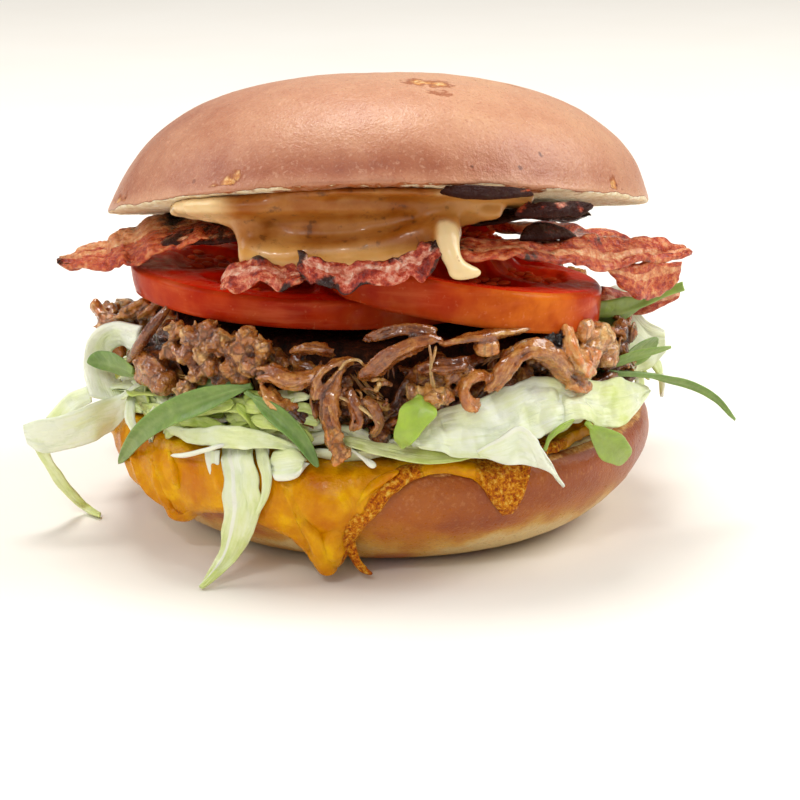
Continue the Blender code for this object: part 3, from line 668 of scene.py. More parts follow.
def meat_shadow_material():
    """The inside of the heap, near black: painted shade."""
    m = Mat("pulled_chicken_deep", rough=0.75, spec=0.12)
    m.colour(m.ramp(m.noise(2.2, 4, 0.65), [(0.38, lin(20, 7, 2)), (0.55, lin(52, 22, 8)), (0.70, lin(92, 44, 18))]))
    m.rough(m.step(m.noise(1.6, 3), 0.3, 0.7, 0.55, 0.85))
    m.normal(m.bump(m.noise(1.4, 4, 0.6), 0.8, 1.0))
    return m.m


def tomato_material():
    m = Mat("tomato", rough=0.2, spec=0.12, sss=0.18, sss_radius=(1.0, 0.2, 0.04), sss_scale=0.003, coat=0.08, coat_rough=0.04)
    m.b.inputs["IOR"].default_value = 1.12
    skin, gel, seedy, golden = m.attr("skin"), m.attr("gel"), m.attr("pale"), m.attr("golden")
    n = m.noise(9, 4, 0.6)
    flesh = m.ramp(n, [(0.3, lin(196, 10, 0)), (0.5, lin(220, 26, 2)), (0.72, lin(230, 64, 14))])
    gelc = m.ramp(m.noise(3, 3), [(0.3, lin(172, 10, 0)), (0.7, lin(212, 54, 2))])
    face = m.mix(gel, flesh, gelc)
    face = m.mix(m.math("MULTIPLY", seedy, 0.40), face, lin(210, 112, 48))
    side = m.ramp(
        m.math("ADD", m.math("MULTIPLY", n, 0.65), m.math("MULTIPLY", m.noise(30, 2), 0.35)),
        [(0.3, lin(146, 22, 4)), (0.44, lin(166, 39, 11)), (0.56, lin(182, 60, 21)), (0.76, lin(206, 102, 50))],
    )
    side = m.mix(m.math("MULTIPLY", golden, m.step(n, 0.3, 0.7, 0.35, 1.0)), side, lin(222, 124, 34))
    streaks = m.noise(1, 3, 0.6, vec=m.vec(m.math("MULTIPLY", m.xyz(0), 60.0), m.math("MULTIPLY", m.xyz(1), 60.0), m.math("MULTIPLY", m.xyz(2), 420.0)), scale=1.0)
    side = m.mix(m.step(streaks, 0.50, 0.72, 0.0, 0.38), side, lin(208, 106, 62))
    side = m.mix(m.step(m.noise(1.0, 2), 0.62, 0.75, 0.0, 0.16), side, lin(232, 158, 112))
    m.colour(m.mix(skin, face, side))
    m.rough(m.math("ADD", m.step(m.noise(4, 3), 0.3, 0.75, 0.12, 0.30), m.math("MULTIPLY", m.math("SUBTRACT", 1.0, skin), 0.10)))
    m.normal(m.bump(m.math("ADD", m.math("MULTIPLY", m.noise(2.0, 3), m.math("SUBTRACT", 1.15, skin)), m.math("MULTIPLY", m.noise(6, 2), 0.3)), 0.4, 0.5))
    return m.m


def bacon_material(name="bacon", spec=0.34, coat=0.16):
    m = Mat(name, rough=0.32, spec=spec, sss=0.10, sss_radius=(1.0, 0.35, 0.15), sss_scale=0.0015, coat=coat, coat_rough=0.08)
    fat, char, warm, su, sv = m.attr("fat"), m.attr("char"), m.attr("warm"), m.attr("su"), m.attr("sv")
    pink = m.attr("pink")
    streak = m.noise(1, 5, 0.65, vec=m.vec(m.math("MULTIPLY", su, 0.22), m.math("MULTIPLY", sv, 1.2), warm), scale=1.0, distort=0.5)
    spots = m.noise(1.5, 5, 0.7)
    blotch = m.noise(5.5, 3, 0.6)
    lean = m.ramp(
        m.math("ADD", m.math("MULTIPLY", streak, 0.6), m.math("MULTIPLY", spots, 0.45)),
        [(0.36, lin(92, 14, 4)), (0.45, lin(156, 38, 10)), (0.54, lin(196, 80, 36)), (0.64, lin(226, 138, 88))],
    )
    rosy = m.ramp(m.math("ADD", m.math("MULTIPLY", spots, 0.55), m.math("MULTIPLY", blotch, 0.45)), [(0.41, lin(104, 12, 6)), (0.46, lin(156, 34, 18)), (0.50, lin(194, 74, 48)), (0.54, lin(222, 130, 106)), (0.59, lin(240, 186, 166))])
    lean = m.mix(pink, lean, rosy)
    pale = m.ramp(spots, [(0.34, lin(206, 112, 56)), (0.5, lin(232, 164, 104)), (0.66, lin(246, 206, 156))])
    pale = m.mix(pink, pale, m.ramp(spots, [(0.40, lin(206, 100, 78)), (0.5, lin(230, 156, 134)), (0.6, lin(248, 216, 202))]))
    f = m.math("ADD", m.math("MULTIPLY", fat, 0.9), m.math("MULTIPLY", m.math("SUBTRACT", streak, 0.5), 1.0))
    f = m.step(m.math("ADD", f, m.math("MULTIPLY", m.math("SUBTRACT", blotch, 0.5), 1.1)), 0.40, 0.66, 0.0, 0.9)
    c = m.mix(f, lean, pale)
    c = m.mix(m.math("MULTIPLY", warm, m.step(blotch, 0.35, 0.65, 0.25, 0.85)), c, m.ramp(spots, [(0.40, lin(164, 30, 4)), (0.48, lin(198, 68, 12)), (0.55, lin(226, 124, 36)), (0.64, lin(244, 190, 108))]))
    k = m.math("ADD", char, m.math("MULTIPLY", m.math("SUBTRACT", m.noise(2.6, 5, 0.7), 0.5), 1.5))
    c = m.mix(m.step(k, 0.46, 0.80, 0.0, 0.97), c, lin(34, 9, 4))
    m.colour(c)
    m.rough(m.step(m.noise(1.6, 4), 0.3, 0.7, 0.16, 0.44))
    h = m.math("ADD", m.math("MULTIPLY", streak, 0.9), m.math("MULTIPLY", spots, 1.1))
    m.normal(m.bump(h, 0.6, 0.95))
    return m.m


def sauce_material():
    m = Mat("burger_sauce", rough=0.22, spec=0.25, sss=0.16, sss_radius=(1.0, 0.55, 0.2), sss_scale=0.002, coat=0.22, coat_rough=0.05)
    lip, soak_and_shade, drip = m.attr("lip"), m.attr("soak_and_shade"), m.attr("drip")
    n = m.noise(9, 3)
    c = m.ramp(n, [(0.3, lin(206, 144, 66)), (0.5, lin(218, 160, 84)), (0.7, lin(230, 178, 104))])
    # paler on the front lip: painted light where the light falls on it; the same mark gives the skirt at the left end
    # its pale cream
    c = m.mix(m.math("MULTIPLY", lip, 0.5), c, lin(224, 178, 114))
    c = m.mix(m.math("MULTIPLY", drip, 0.85), c, lin(240, 214, 162))
    c = m.mix(m.step(m.noise(1.1, 2), 0.66, 0.76, 0.0, 0.5), c, lin(150, 80, 26))
    # browner up under the crown: partly sauce soaked into the crumb, partly painted shade where the crown shades it
    k = m.math("MULTIPLY", soak_and_shade, m.step(m.noise(7, 4, 0.6), 0.34, 0.66, 1.0, 0.72))
    c = m.mix(k, c, lin(150, 80, 6))
    c = m.mix(m.math("MULTIPLY", soak_and_shade, m.step(m.noise(2.4, 4, 0.65), 0.56, 0.68, 0.0, 0.6)), c, lin(70, 32, 4))
    m.colour(c)
    m.rough(m.math("ADD", m.math("MULTIPLY", soak_and_shade, 0.30), m.step(n, 0.3, 0.7, 0.14, 0.26)))
    m.normal(m.bump(m.math("ADD", m.noise(5.5, 3), m.math("MULTIPLY", m.noise(1.2, 2), 0.15)), 0.5, 0.6))
    return m.m


CRUST = crust_material("bun_crust", CROWN_STOPS, lin(232, 184, 150), lin(160, 84, 58))
HEEL_CRUST = crust_material("heel_crust", HEEL_STOPS, lin(214, 150, 88), lin(150, 78, 40))
CHEDDAR = cheddar_material()
LETTUCE = lettuce_material()
ROCKET = rocket_material()
CHICKEN = chicken_material()
MEAT_PAINTED_SHADE = meat_shadow_material()
TOMATO = tomato_material()
BACON = bacon_material()
BACON_DARK = bacon_material("bacon_charred", 0.10, 0.03)
SAUCE = sauce_material()

# ---------------------------------------------------------------------------
# buns
# ---------------------------------------------------------------------------
CROWN_R, CROWN_H = 53.9, 26.4
CROWN_AT = np.array([-1.3, 0.5, 60.2])
CROWN_TILT, CROWN_ROLL, CROWN_ARCH = math.radians(13.5), math.radians(1.1), 4.0


def crown_place(L):
    """From the crown's own frame to the burger's."""
    c, s = math.cos(-CROWN_TILT), math.sin(-CROWN_TILT)
    rx = np.array([[1, 0, 0], [0, c, -s], [0, s, c]])
    c, s = math.cos(-CROWN_ROLL), math.sin(-CROWN_ROLL)
    ry = np.array([[c, 0, s], [0, 1, 0], [-s, 0, c]])
    return L @ (rx @ ry).T + CROWN_AT


def crown_under(x, y):
    dx, dy = x - CROWN_AT[0], y - CROWN_AT[1]
    r = np.hypot(dx, dy)
    front = np.clip(-dy / np.maximum(r, 1e-6), 0, 1)
    return CROWN_AT[2] - math.tan(CROWN_TILT) * dy + CROWN_ARCH * front**2 * (r / CROWN_R) ** 2


def crown_waist(q):
    """The sides lean in from the rim instead of rising straight."""
    return 1.0 - 0.034 * (1.0 - np.exp(-q / 0.13)) - 0.022 * q


def crown_lean(q):
    return 0.8 * np.sin(math.pi * np.clip(q, 0, 1))


def ring_solid(rings, closed_poles=True):
    """Quads and tris of stacked rings, the first and last closed by a point."""
    nr, nt = rings
    idx = np.arange(nr * nt).reshape(nr, nt)
    nx = np.roll(idx, -1, axis=1)
    quads = np.stack([idx[:-1], idx[1:], nx[1:], nx[:-1]], -1).reshape(-1, 4)
    a, b = nr * nt, nr * nt + 1
    tris = np.concatenate([np.stack([np.full(nt, a), idx[0], nx[0]], -1), np.stack([np.full(nt, b), nx[-1], idx[-1]], -1)])
    return quads, tris


def on_crown(px, py):
    """Where a pixel's ray first meets the crown, in the crown's own frame."""
    k = np.linspace(470, 640, 1400)[:, None]
    P = EYE + ray(px, py) * k
    L = P - CROWN_AT
    c, s = math.cos(-CROWN_TILT), math.sin(-CROWN_TILT)
    rx = np.array([[1, 0, 0], [0, c, -s], [0, s, c]])
    c, s = math.cos(-CROWN_ROLL), math.sin(-CROWN_ROLL)
    ry = np.array([[c, 0, s], [0, 1, 0], [-s, 0, c]])
    L = L @ (rx @ ry)
    r = np.hypot(L[:, 0], L[:, 1])
    front = np.clip(-L[:, 1] / np.maximum(r, 1e-6), 0, 1)
    z = np.maximum(L[:, 2] - CROWN_ARCH * front**2 * (r / CROWN_R) ** 2, 0)
    q = np.clip(z / CROWN_H, 0, 1)
    r = np.hypot(L[:, 0] - crown_lean(q), L[:, 1]) / crown_waist(q)
    level = (r / CROWN_R) ** 2.45 + (z / CROWN_H) ** 2
    inside = level < 1.0
    i = int(np.argmax(inside)) if inside.any() else int(np.argmin(level))
    return np.array([L[i, 0], L[i, 1], z[i]])


def build_crown():
    nt = 480
    th = np.linspace(0, TAU, nt, endpoint=False)
    a = np.linspace(0.03, 1, 52) ** 0.80 * math.pi / 2
    r_top = CROWN_R * np.sin(a) ** (2 / 2.45)
    z_top = 1.6 + (CROWN_H - 1.6) * np.cos(a)
    # the torn rim and the cut face
    r_low = np.concatenate([[CROWN_R - 0.05, CROWN_R - 0.25, CROWN_R - 0.55, CROWN_R - 1.0], np.linspace(CROWN_R - 1.8, 24.0, 12), [14.0, 5.0]])
    z_low = np.concatenate([[1.15, 0.7, 0.3, 0.05], np.zeros(14)])
    r, z = np.concatenate([r_top, r_low]), np.concatenate([z_top, z_low])
    nr = len(r)
    R = np.repeat(r[:, None], nt, 1)
    Z = np.repeat(z[:, None], nt, 1)
    q = np.clip(Z / CROWN_H, 0, 1)
    R = R * crown_waist(q)
    X, Y = R * np.cos(th) + crown_lean(q), R * np.sin(th)
    P = np.stack([X, Y, Z], -1)
    top = (np.arange(nr) < len(a))[:, None]
    swell = 0.45 * fbm(P, 30, 2, 3) + 0.20 * fbm(P, 9, 2, 4) - 0.35
    wrinkle = 0.07 * fbm(P, 2.2, 3, 5)
    P = P + unit(P - np.array([0, 0, -12.0])) * ((swell + wrinkle) * np.where(top, 1.0, np.clip(Z / 1.2, 0, 1)))[..., None]
    deg = (np.degrees(th)[None] + 180) % 360 - 180
    # the rim is a little ragged, the cut face is open crumb
    rim = bell(np.arange(nr)[:, None], len(a), 2.5)
    P[..., 2] += rim * (0.40 * fbm(P, 4.0, 3, 8))
    pore = fbm(P, 2.4, 3, 9)
    P[..., 2] += np.where(top, 0.0, 1.0) * sm((CROWN_R - R) / 2.5) * (0.34 * pore - 0.20)
    front = np.clip(-np.sin(th), 0, None)
    P[..., 2] += CROWN_ARCH * front**2 * (R / CROWN_R) ** 2
    # how far the bare crumb climbs above the cut: a thin line in front, a strip at the left and behind
    climb = 0.55 + 0.35 * bell(deg, -152, 26) + 0.7 * bell(deg, -22, 20) + 0.8 * bell(deg, 100, 60)
    crumb = sm((climb + 0.45 * fbm(np.stack([X, Y, 0 * X], -1), 7, 3, 12) - Z) / 1.1)
    crumb = np.where(top & (Z > 3.5), 0.0, crumb)
    # the baked colour: deeper on the shoulders, golden just above the rim
    bake = 0.44 + 0.16 * sm((R / CROWN_R - 0.45) / 0.4) - 0.22 * sm((3.4 - Z) / 3.0) + 0.10 * fbm(P, 22, 2, 30)
    # painted light and shade in the crust colour: darker low on the front, part deeper bake and part painted shade;
    # lighter high on the front right, a painted sheen; a little darker at the left
    bake = bake + 0.24 * bell(deg, -96, 44) * sm((11 - Z) / 9) - 0.14 * bell(deg, -40, 55) * sm((Z - 5) / 8) + 0.08 * bell(deg, -150, 40)
    Q = np.stack([X, Y, Z], -1)
    tear = np.zeros_like(X)
    spot = np.zeros_like(X)
    # places where the skin lifted, as pixel, size across and along, strength
    for px, py, wide, high, k in (
        (426, 82, 5.2, 3.4, 1.3), (440, 93, 2.6, 2.0, 1.0), (516, 87, 2.4, 1.1, 1.0),
        (110, 208, 1.4, 1.6, 1.4), (116, 203, 1.4, 2.2, 1.4), (122, 200, 1.6, 1.6, 1.2), (132, 205, 2.8, 1.1, 1.2), (148, 205, 3.0, 0.9, 1.2), (166, 201, 3.0, 0.8, 1.1),
        (226, 181, 2.8, 1.5, 1.4), (236, 175, 1.0, 1.5, 1.2), (212, 187, 4.5, 0.9, 1.2), (190, 193, 4.0, 0.8, 1.1), (616, 186, 0.9, 2.4, 1.3), (628, 196, 3.6, 1.3, 1.2), (596, 190, 5.0, 0.9, 1.1), (560, 187, 5.0, 0.8, 1.1),
        (640, 199, 2.0, 1.0, 1.1), (300, 187, 5.0, 0.6, 0.9), (350, 184, 5.0, 0.5, 0.8),
    ):
        c = on_crown(px, py)
        d = np.hypot((X - c[0]) / wide, np.hypot(Y - c[1], Z - c[2]) / high)
        tear = np.maximum(tear, k * np.exp(-(d**2)) * (0.75 + 0.7 * fbm(Q, 1.6, 3, 40)))
    for a_deg, zz, wide in ((60, 4.0, 5.0), (118, 3.0, 4.0), (171, 5.0, 3.0), (20, 3.0, 3.5)):
        d = np.hypot((deg - a_deg) * 0.9 / wide, (Z - zz) / 1.2)
        tear = np.maximum(tear, 1.1 * np.exp(-(d**2)) * (0.7 + 0.8 * fbm(Q, 1.6, 3, 41)))
    for px, py, r_ in ((472, 167, 0.75), (521, 167, 0.85), (524, 161, 0.45), (541, 155, 1.0), (546, 163, 0.55), (637, 181, 0.5), (497, 176, 0.45), (583, 171, 0.4), (300, 103, 0.45), (243, 160, 0.4), (618, 184, 0.5)):
        c = on_crown(px, py)
        spot = np.maximum(spot, np.exp(-((np.linalg.norm(Q - c, axis=-1) / r_) ** 2)))
    rng = np.random.default_rng(61)
    for _ in range(26):
        aa, rr = rng.uniform(0.05, math.pi - 0.05), rng.uniform(20, 52)
        c = np.array([rr * math.cos(aa), rr * math.sin(aa)])
        spot = np.maximum(spot, np.where(top, np.exp(-((np.hypot(X - c[0], Y - c[1]) / rng.uniform(0.4, 0.8)) ** 2)), 0))
    tear = np.where(top, np.clip(tear, 0, 1.2), 0.0)
    flap = np.clip(tear - 0.35, 0, 1)
    # cracks between skin and crumb at the left, and the lifted edges of the tears
    crack = np.zeros_like(X)
    for line, r_ in (
        (((131, 204), (140, 203), (150, 201), (162, 200), (176, 197), (190, 194), (198, 189)), 0.42),
        (((218, 186), (226, 187), (236, 180)), 0.32), (((612, 178), (616, 186), (620, 192)), 0.30), (((590, 190), (604, 191), (618, 194)), 0.30),
        (((112, 200), (118, 195), (124, 198)), 0.30), (((262, 192), (290, 189), (330, 187), (372, 185)), 0.26), (((414, 79), (424, 86), (436, 91)), 0.35),
    ):
        for qx, qy in spline(np.column_stack([np.array(line, float), np.zeros(len(line))]), np.linspace(0, 1, 16))[:, :2]:
            c = on_crown(qx, qy)
            crack = np.maximum(crack, np.exp(-((np.linalg.norm(Q - c, axis=-1) / r_) ** 2)))
    crack = np.where(top, crack, 0.0)
    spot = np.maximum(spot, 0.95 * crack)
    out_dir = unit(P - np.array([0, 0, -12.0]))
    P = P + out_dir * (0.30 * flap * (0.4 + fbm(Q, 1.3, 2, 42)) - 0.55 * crack - 0.15 * flap)[..., None]
    poles = np.array([[0, 0, CROWN_H], [0, 0, -0.2]])
    V = np.vstack([P.reshape(-1, 3), poles])
    quads, tris = ring_solid((nr, nt))
    bag = Bag()
    pad = lambda field, ends: np.append((field + 0 * X).ravel(), ends)
    bag.add(crown_place(V), quads, tris, bake=pad(bake, [0.45, 0.45]), crumb=pad(crumb, [0.0, 1.0]), tear=pad(tear, [0.0, 0.0]), spot=pad(spot, [0.0, 0.0]))
    return bag.make("crown_crust", CRUST, "bun_crust", "crown_bun")


HEEL_PROFILE = np.array(
    [(40.0, 22.0), (50.0, 21.8), (52.6, 20.6), (53.5, 17.5), (52.6, 13.5), (50.0, 9.0), (46.2, 5.0), (41.8, 2.1), (37.2, 0.5), (35.0, 0.0)]
)


def heel_curve(n):
    """Smooth half section of the heel, top to bottom."""
    t = np.linspace(0, 1, n)
    p = np.column_stack([HEEL_PROFILE, np.zeros(len(HEEL_PROFILE))])
    c = spline(p, t)[:, :2]
    c[:, 1] = np.clip(c[:, 1], 0, 22.0)
    return c


def build_heel():
    nt = 260
    th = np.linspace(0, TAU, nt, endpoint=False)
    side = heel_curve(48)
    top = np.column_stack([np.linspace(4, 38, 5), np.full(5, 22.0)])
    low = np.column_stack([np.linspace(33, 4, 4), np.zeros(4)])
    c = np.vstack([top, side, low])
    nr = len(c)
    R, Z = np.repeat(c[:, :1], nt, 1), np.repeat(c[:, 1:], nt, 1)
    P = np.stack([R * np.cos(th), R * np.sin(th), Z], -1)
    live = sm(Z / 2.5) * sm((R - 35) / 4)
    out = unit(P * [1, 1, 0] + np.array([0, 0, 1e-6]))
    swell = 0.5 * fbm(P, 26, 2, 60) + 0.22 * fbm(P, 7, 3, 61) - 0.35
    P = P + out * ((swell + 0.08 * fbm(P, 2.0, 3, 64)) * live)[..., None]
    band = 0.62 + 0.10 * np.cos(th - 0.3)
    bake = 0.06 + band * sm((Z - 3.0 - 2.5 * fbm(P * [1, 1, 0.2], 14, 2, 66)) / 12.5) + 0.10 * fbm(P, 15, 3, 62)
    # golden patches where it browned unevenly lower down
    bake = bake + 0.75 * np.clip(fbm(P * [1, 1, 1.4], 8, 4, 63), -0.25, 1) * sm((15 - Z) / 8)
    # painted shade: darker low at the front and along the bottom edge where the bun meets the floor
    bake = bake + 0.30 * bell(np.degrees(th)[None], -86, 14) * sm((14 - Z) / 6) + 0.22 * sm((2.2 - Z) / 2.0)
    # the cut top edge is toasted crumb
    tear = sm((Z - 20.4) / 1.2) * sm((R - 47) / 3) * (0.9 + 0.5 * fbm(P, 2.0, 3, 65))
    crumb = np.where(R < 50.5, sm((Z - 21.0) / 0.8), 0.0)
    V = np.vstack([P.reshape(-1, 3), [[0, 0, 22.0], [0, 0, 0]]])
    quads, tris = ring_solid((nr, nt))
    bag = Bag()
    bag.add(V, quads, tris, bake=np.append(bake.ravel(), [0.1, 0.1]), crumb=np.append(crumb.ravel(), [1.0, 0.0]), tear=np.append(tear.ravel(), [0.0, 0.0]), spot=0.0)
    return bag.make("heel_crust", HEEL_CRUST, "bun_crust", "heel_bun")


build_crown()
build_heel()

# ---------------------------------------------------------------------------
# melted cheese
# ---------------------------------------------------------------------------
CHEESE_EDGE = np.array(
    [
        (-180, 9), (-172, 6), (-165, 7), (-158, 10), (-152, 12.5), (-146, 15), (-141, 17), (-136, 17), (-132, 15), (-127, 13),
        (-122, 11.6), (-118, 10.8), (-114.5, 13.0), (-111, 15.5), (-108, 17), (-106, 21), (-104.5, 25.6), (-99.6, 26.0), (-98, 21), (-95.5, 14.5),
        (-92, 9.5), (-88.5, 5.5), (-85, 3.2), (-80, 2.2),
        (-74, 2.2), (-71, 3.6), (-68.5, 7.5), (-66, 11.0), (-64.4, 12.2), (-62.6, 10.5), (-60.5, 5.5), (-58, 1.6), (-54, 0.4), (-44, -0.4),
        (-36, -1.2), (-30, -1.6), (-20, -1.8), (-10, -1.8), (-4, -1.6), (2, -1.2), (10, 0.5), (20, 3), (34, 5), (50, 6), (58, 11), (64, 12),
        (74, 7), (88, 7), (98, 9), (108, 14), (116, 18), (123, 15), (134, 10), (146, 8), (158, 9), (170, 12), (180, 11),
    ],
    float,
)  # fmt: skip


def build_cheese():
    nt, nk = 430, 28
    th = np.linspace(0, TAU, nt, endpoint=False)
    deg = (np.degrees(th) + 180) % 360 - 180
    reach = np.interp(deg, CHEESE_EDGE[:, 0], CHEESE_EDGE[:, 1])
    k = np.exp(-0.5 * (np.arange(-6, 7) / 1.5) ** 2)
    reach = np.convolve(np.concatenate([reach[-6:], reach, reach[:6]]), k / k.sum(), "valid")
    reach += 0.5 * noise(np.stack([th * 9, 0 * th, 0 * th], -1), 1.0, 70) + 0.30 * noise(np.stack([th * 34, 0 * th, 0 * th], -1), 1.0, 71)
    prof = heel_curve(220)
    arc = np.concatenate([[0], np.cumsum(np.linalg.norm(np.diff(prof, axis=0), axis=1))])
    tang = unit(np.gradient(prof, axis=0))
    nrm = np.stack([-tang[:, 1], tang[:, 0]], -1)
    f = np.linspace(0, 1, nk)[:, None] ** 1.15
    depth = 4.0 + f * (reach[None] + 6.0)
    r = np.interp(depth, arc, prof[:, 0])
    z = np.interp(depth, arc, prof[:, 1])
    n_r = np.interp(depth, arc, nrm[:, 0])
    n_z = np.interp(depth, arc, nrm[:, 1])
    fall = sm((13.0 - z) / 12.0)
    narrow = sm((reach[None] - 15.0) / 8.0)
    r = r + fall * narrow * (50.6 - r) * 0.9
    n_r = n_r + fall * narrow * (0.9 - n_r)
    n_z = n_z * (1 - fall * narrow)
    c, s = np.cos(th), np.sin(th)
    base = np.stack([r * c, r * s, z], -1)
    nn = np.stack([n_r * c, n_r * s, n_z], -1)
    # molten, so thicker along its lower edge and where it is pulled down
    edge = np.sqrt(np.clip(1 - f**10, 0, 1))
    bead = 1.0 * bell(f * 100, 90, 14) + 0.0 * z
    lump = 0.75 * fbm(base, 7, 3, 72) + 1.1 * np.clip(fbm(base, 12, 2, 73), 0, 1)
    # folds where the sheet slid: soft ridges that run downhill
    ridge = 1.0 - np.abs(noise(np.stack([th[None] * 7.0 + 0.10 * z, 0.05 * z, 0 * z], -1), 1.0, 76))
    lump = lump + 1.1 * sm((ridge - 0.72) / 0.28) * sm((reach[None] - 9) / 6)
    crisp = np.zeros_like(z) + bell(deg[None], -64.6, 6.4) * sm((23.5 - z) / 1.5) * 1.3 + 0 * f
    strip = sm((f - 0.62) / 0.2)
    crisp += bell(deg[None], -88.5, 6.5) * strip * 1.25 + bell(deg[None], -51, 5.0) * sm((f - 0.35) / 0.3) * 1.2
    crisp += bell(deg[None], -97.0, 2.2) * sm((f - 0.5) / 0.3) * 0.9
    crisp += bell(deg[None], -4, 9) * sm((21 - z) / 4) + bell(deg[None], 61, 7) * sm((18 - z) / 4) + bell(deg[None], 151, 8) * strip
    crisp += bell(deg[None], -138, 3.0) * bell(f * 100, 88, 9) * 0.8
    thick = 1.4 + 1.2 * narrow * sm((22.5 - z) / 6) + 0.8 * bead * edge + lump * sm((22.2 - z) / 2) - 0.5 * np.clip(crisp, 0, 1)
    thick = np.clip(thick, 0.5, 4.4)
    thin = sm((1.9 - thick) / 1.2) * sm((22 - z) / 2)
    outer = base + nn * (0.35 + thick * edge)[..., None]
    rough_edge = crisp.clip(0, 1) * (0.55 * fbm(base, 1.0, 3, 75) + 0.15)
    outer = outer + nn * rough_edge[..., None]
    inner = base + nn * (0.30 + 0.0 * thick)[..., None]
    P = np.concatenate([inner[::-1], outer])  # rings from the inside out and over the edge
    P[..., 2] = np.maximum(P[..., 2], 0.12)
    nr = len(P)
    idx = np.arange(nr * nt).reshape(nr, nt)
    nx = np.roll(idx, -1, axis=1)
    # the order is inner (edge to middle), outer (middle to edge); close the ring at both ends
    rows = np.concatenate([idx, idx[:1]])
    rown = np.concatenate([nx, nx[:1]])
    quads = np.stack([rows[:-1], rows[1:], rown[1:], rown[:-1]], -1).reshape(-1, 4)
    bag = Bag()
    bag.add(P, quads, None, crisp=np.concatenate([crisp[::-1].ravel(), crisp.ravel()]), thin=np.concatenate([0 * thin.ravel(), thin.ravel()]))
    # beads and pulls of cheese: the thick fold at the left, the foot of the drip, a thin thread on the plate
    for path, rads, flat, brown in (
        ([(146, 447, 54.2), (158, 470, 54.4), (166, 492, 53.6), (174, 508, 52.4), (186, 514, 51.6), (196, 508, 51.8), (198, 494, 52.6)], [1.0, 1.5, 1.9, 1.9, 1.7, 1.5, 0.9], 0.8, 0.0),
        ([(168, 452, 54.6), (176, 470, 54.8), (179, 488, 54.2)], [0.7, 1.3, 1.0], 0.7, 0.0),
        ([(292, 500, 54.0), (306, 522, 54.2), (318, 540, 53.4), (325, 558, 52.0), (329, 571, 51.0)], [1.0, 1.6, 2.3, 2.7, 2.4], 0.85, 0.0),
        ([(352, 500, 54.0), (341, 522, 53.8), (332, 543, 53.0), (331, 566, 51.4)], [0.9, 1.6, 2.4, 2.5], 0.8, 0.0),
        ([(352, 520, 52.6), (349, 540, 51.4), (354, 556, 50.2), (362, 568, 49.6), (372, 574, 49.4)], [0.8, 1.1, 1.0, 0.9, 0.5], 0.5, 0.75),
        ([(398, 471, 53.6), (380, 481, 54.2), (362, 497, 54.0), (352, 512, 53.4)], [0.9, 1.3, 1.3, 0.8], 0.7, 0.0),
    ):
        V, q, t, _, _ = tube([wall(*p) for p in path], rads, 40, 18, flat=flat, taper=0.5, lump=0.22)
        V = V + unit(V * [1, 1, 0]) * (0.35 * fbm(V, 3.0, 2, 78))[:, None]
        V[:, 2] = np.maximum(V[:, 2], 0.12)
        bag.add(V, q, t, crisp=brown, thin=brown)
    return bag.make("melted_cheddar", CHEDDAR, "cheddar", "cheddar_slice")


build_cheese()


# ---------------------------------------------------------------------------
# tomato
# ---------------------------------------------------------------------------
SLICE_L = {"at": (-14.0, -8.0), "r": 35.0, "z": 45.0, "sx": -0.05, "sy": -0.06, "t": 5.6}
SLICE_R = {"at": (12.0, -19.0), "r": 30.0, "z": 48.66, "sx": -0.16, "sy": -0.107, "t": 7.6}


def slice_l_base(x, y):
    s = SLICE_L
    return s["z"] + s["sx"] * (x - s["at"][0]) + s["sy"] * (y - s["at"][1])


def slice_r_base(x, y):
    s = SLICE_R
    z = s["z"] - 1.92 + s["sx"] * (x - s["at"][0]) + s["sy"] * (y - s["at"][1])
    lx, ly = SLICE_L["at"]
    inside = SLICE_L["r"] + 3.0 - np.hypot(x - lx, y - ly)
    z = z + 3.0 * sm(inside / 14.0)
    k = sm((inside + 3.0) / 6.0)
    return z + k * np.maximum(slice_l_base(x, y) + SLICE_L["t"] + 0.35 - z, 0.0)


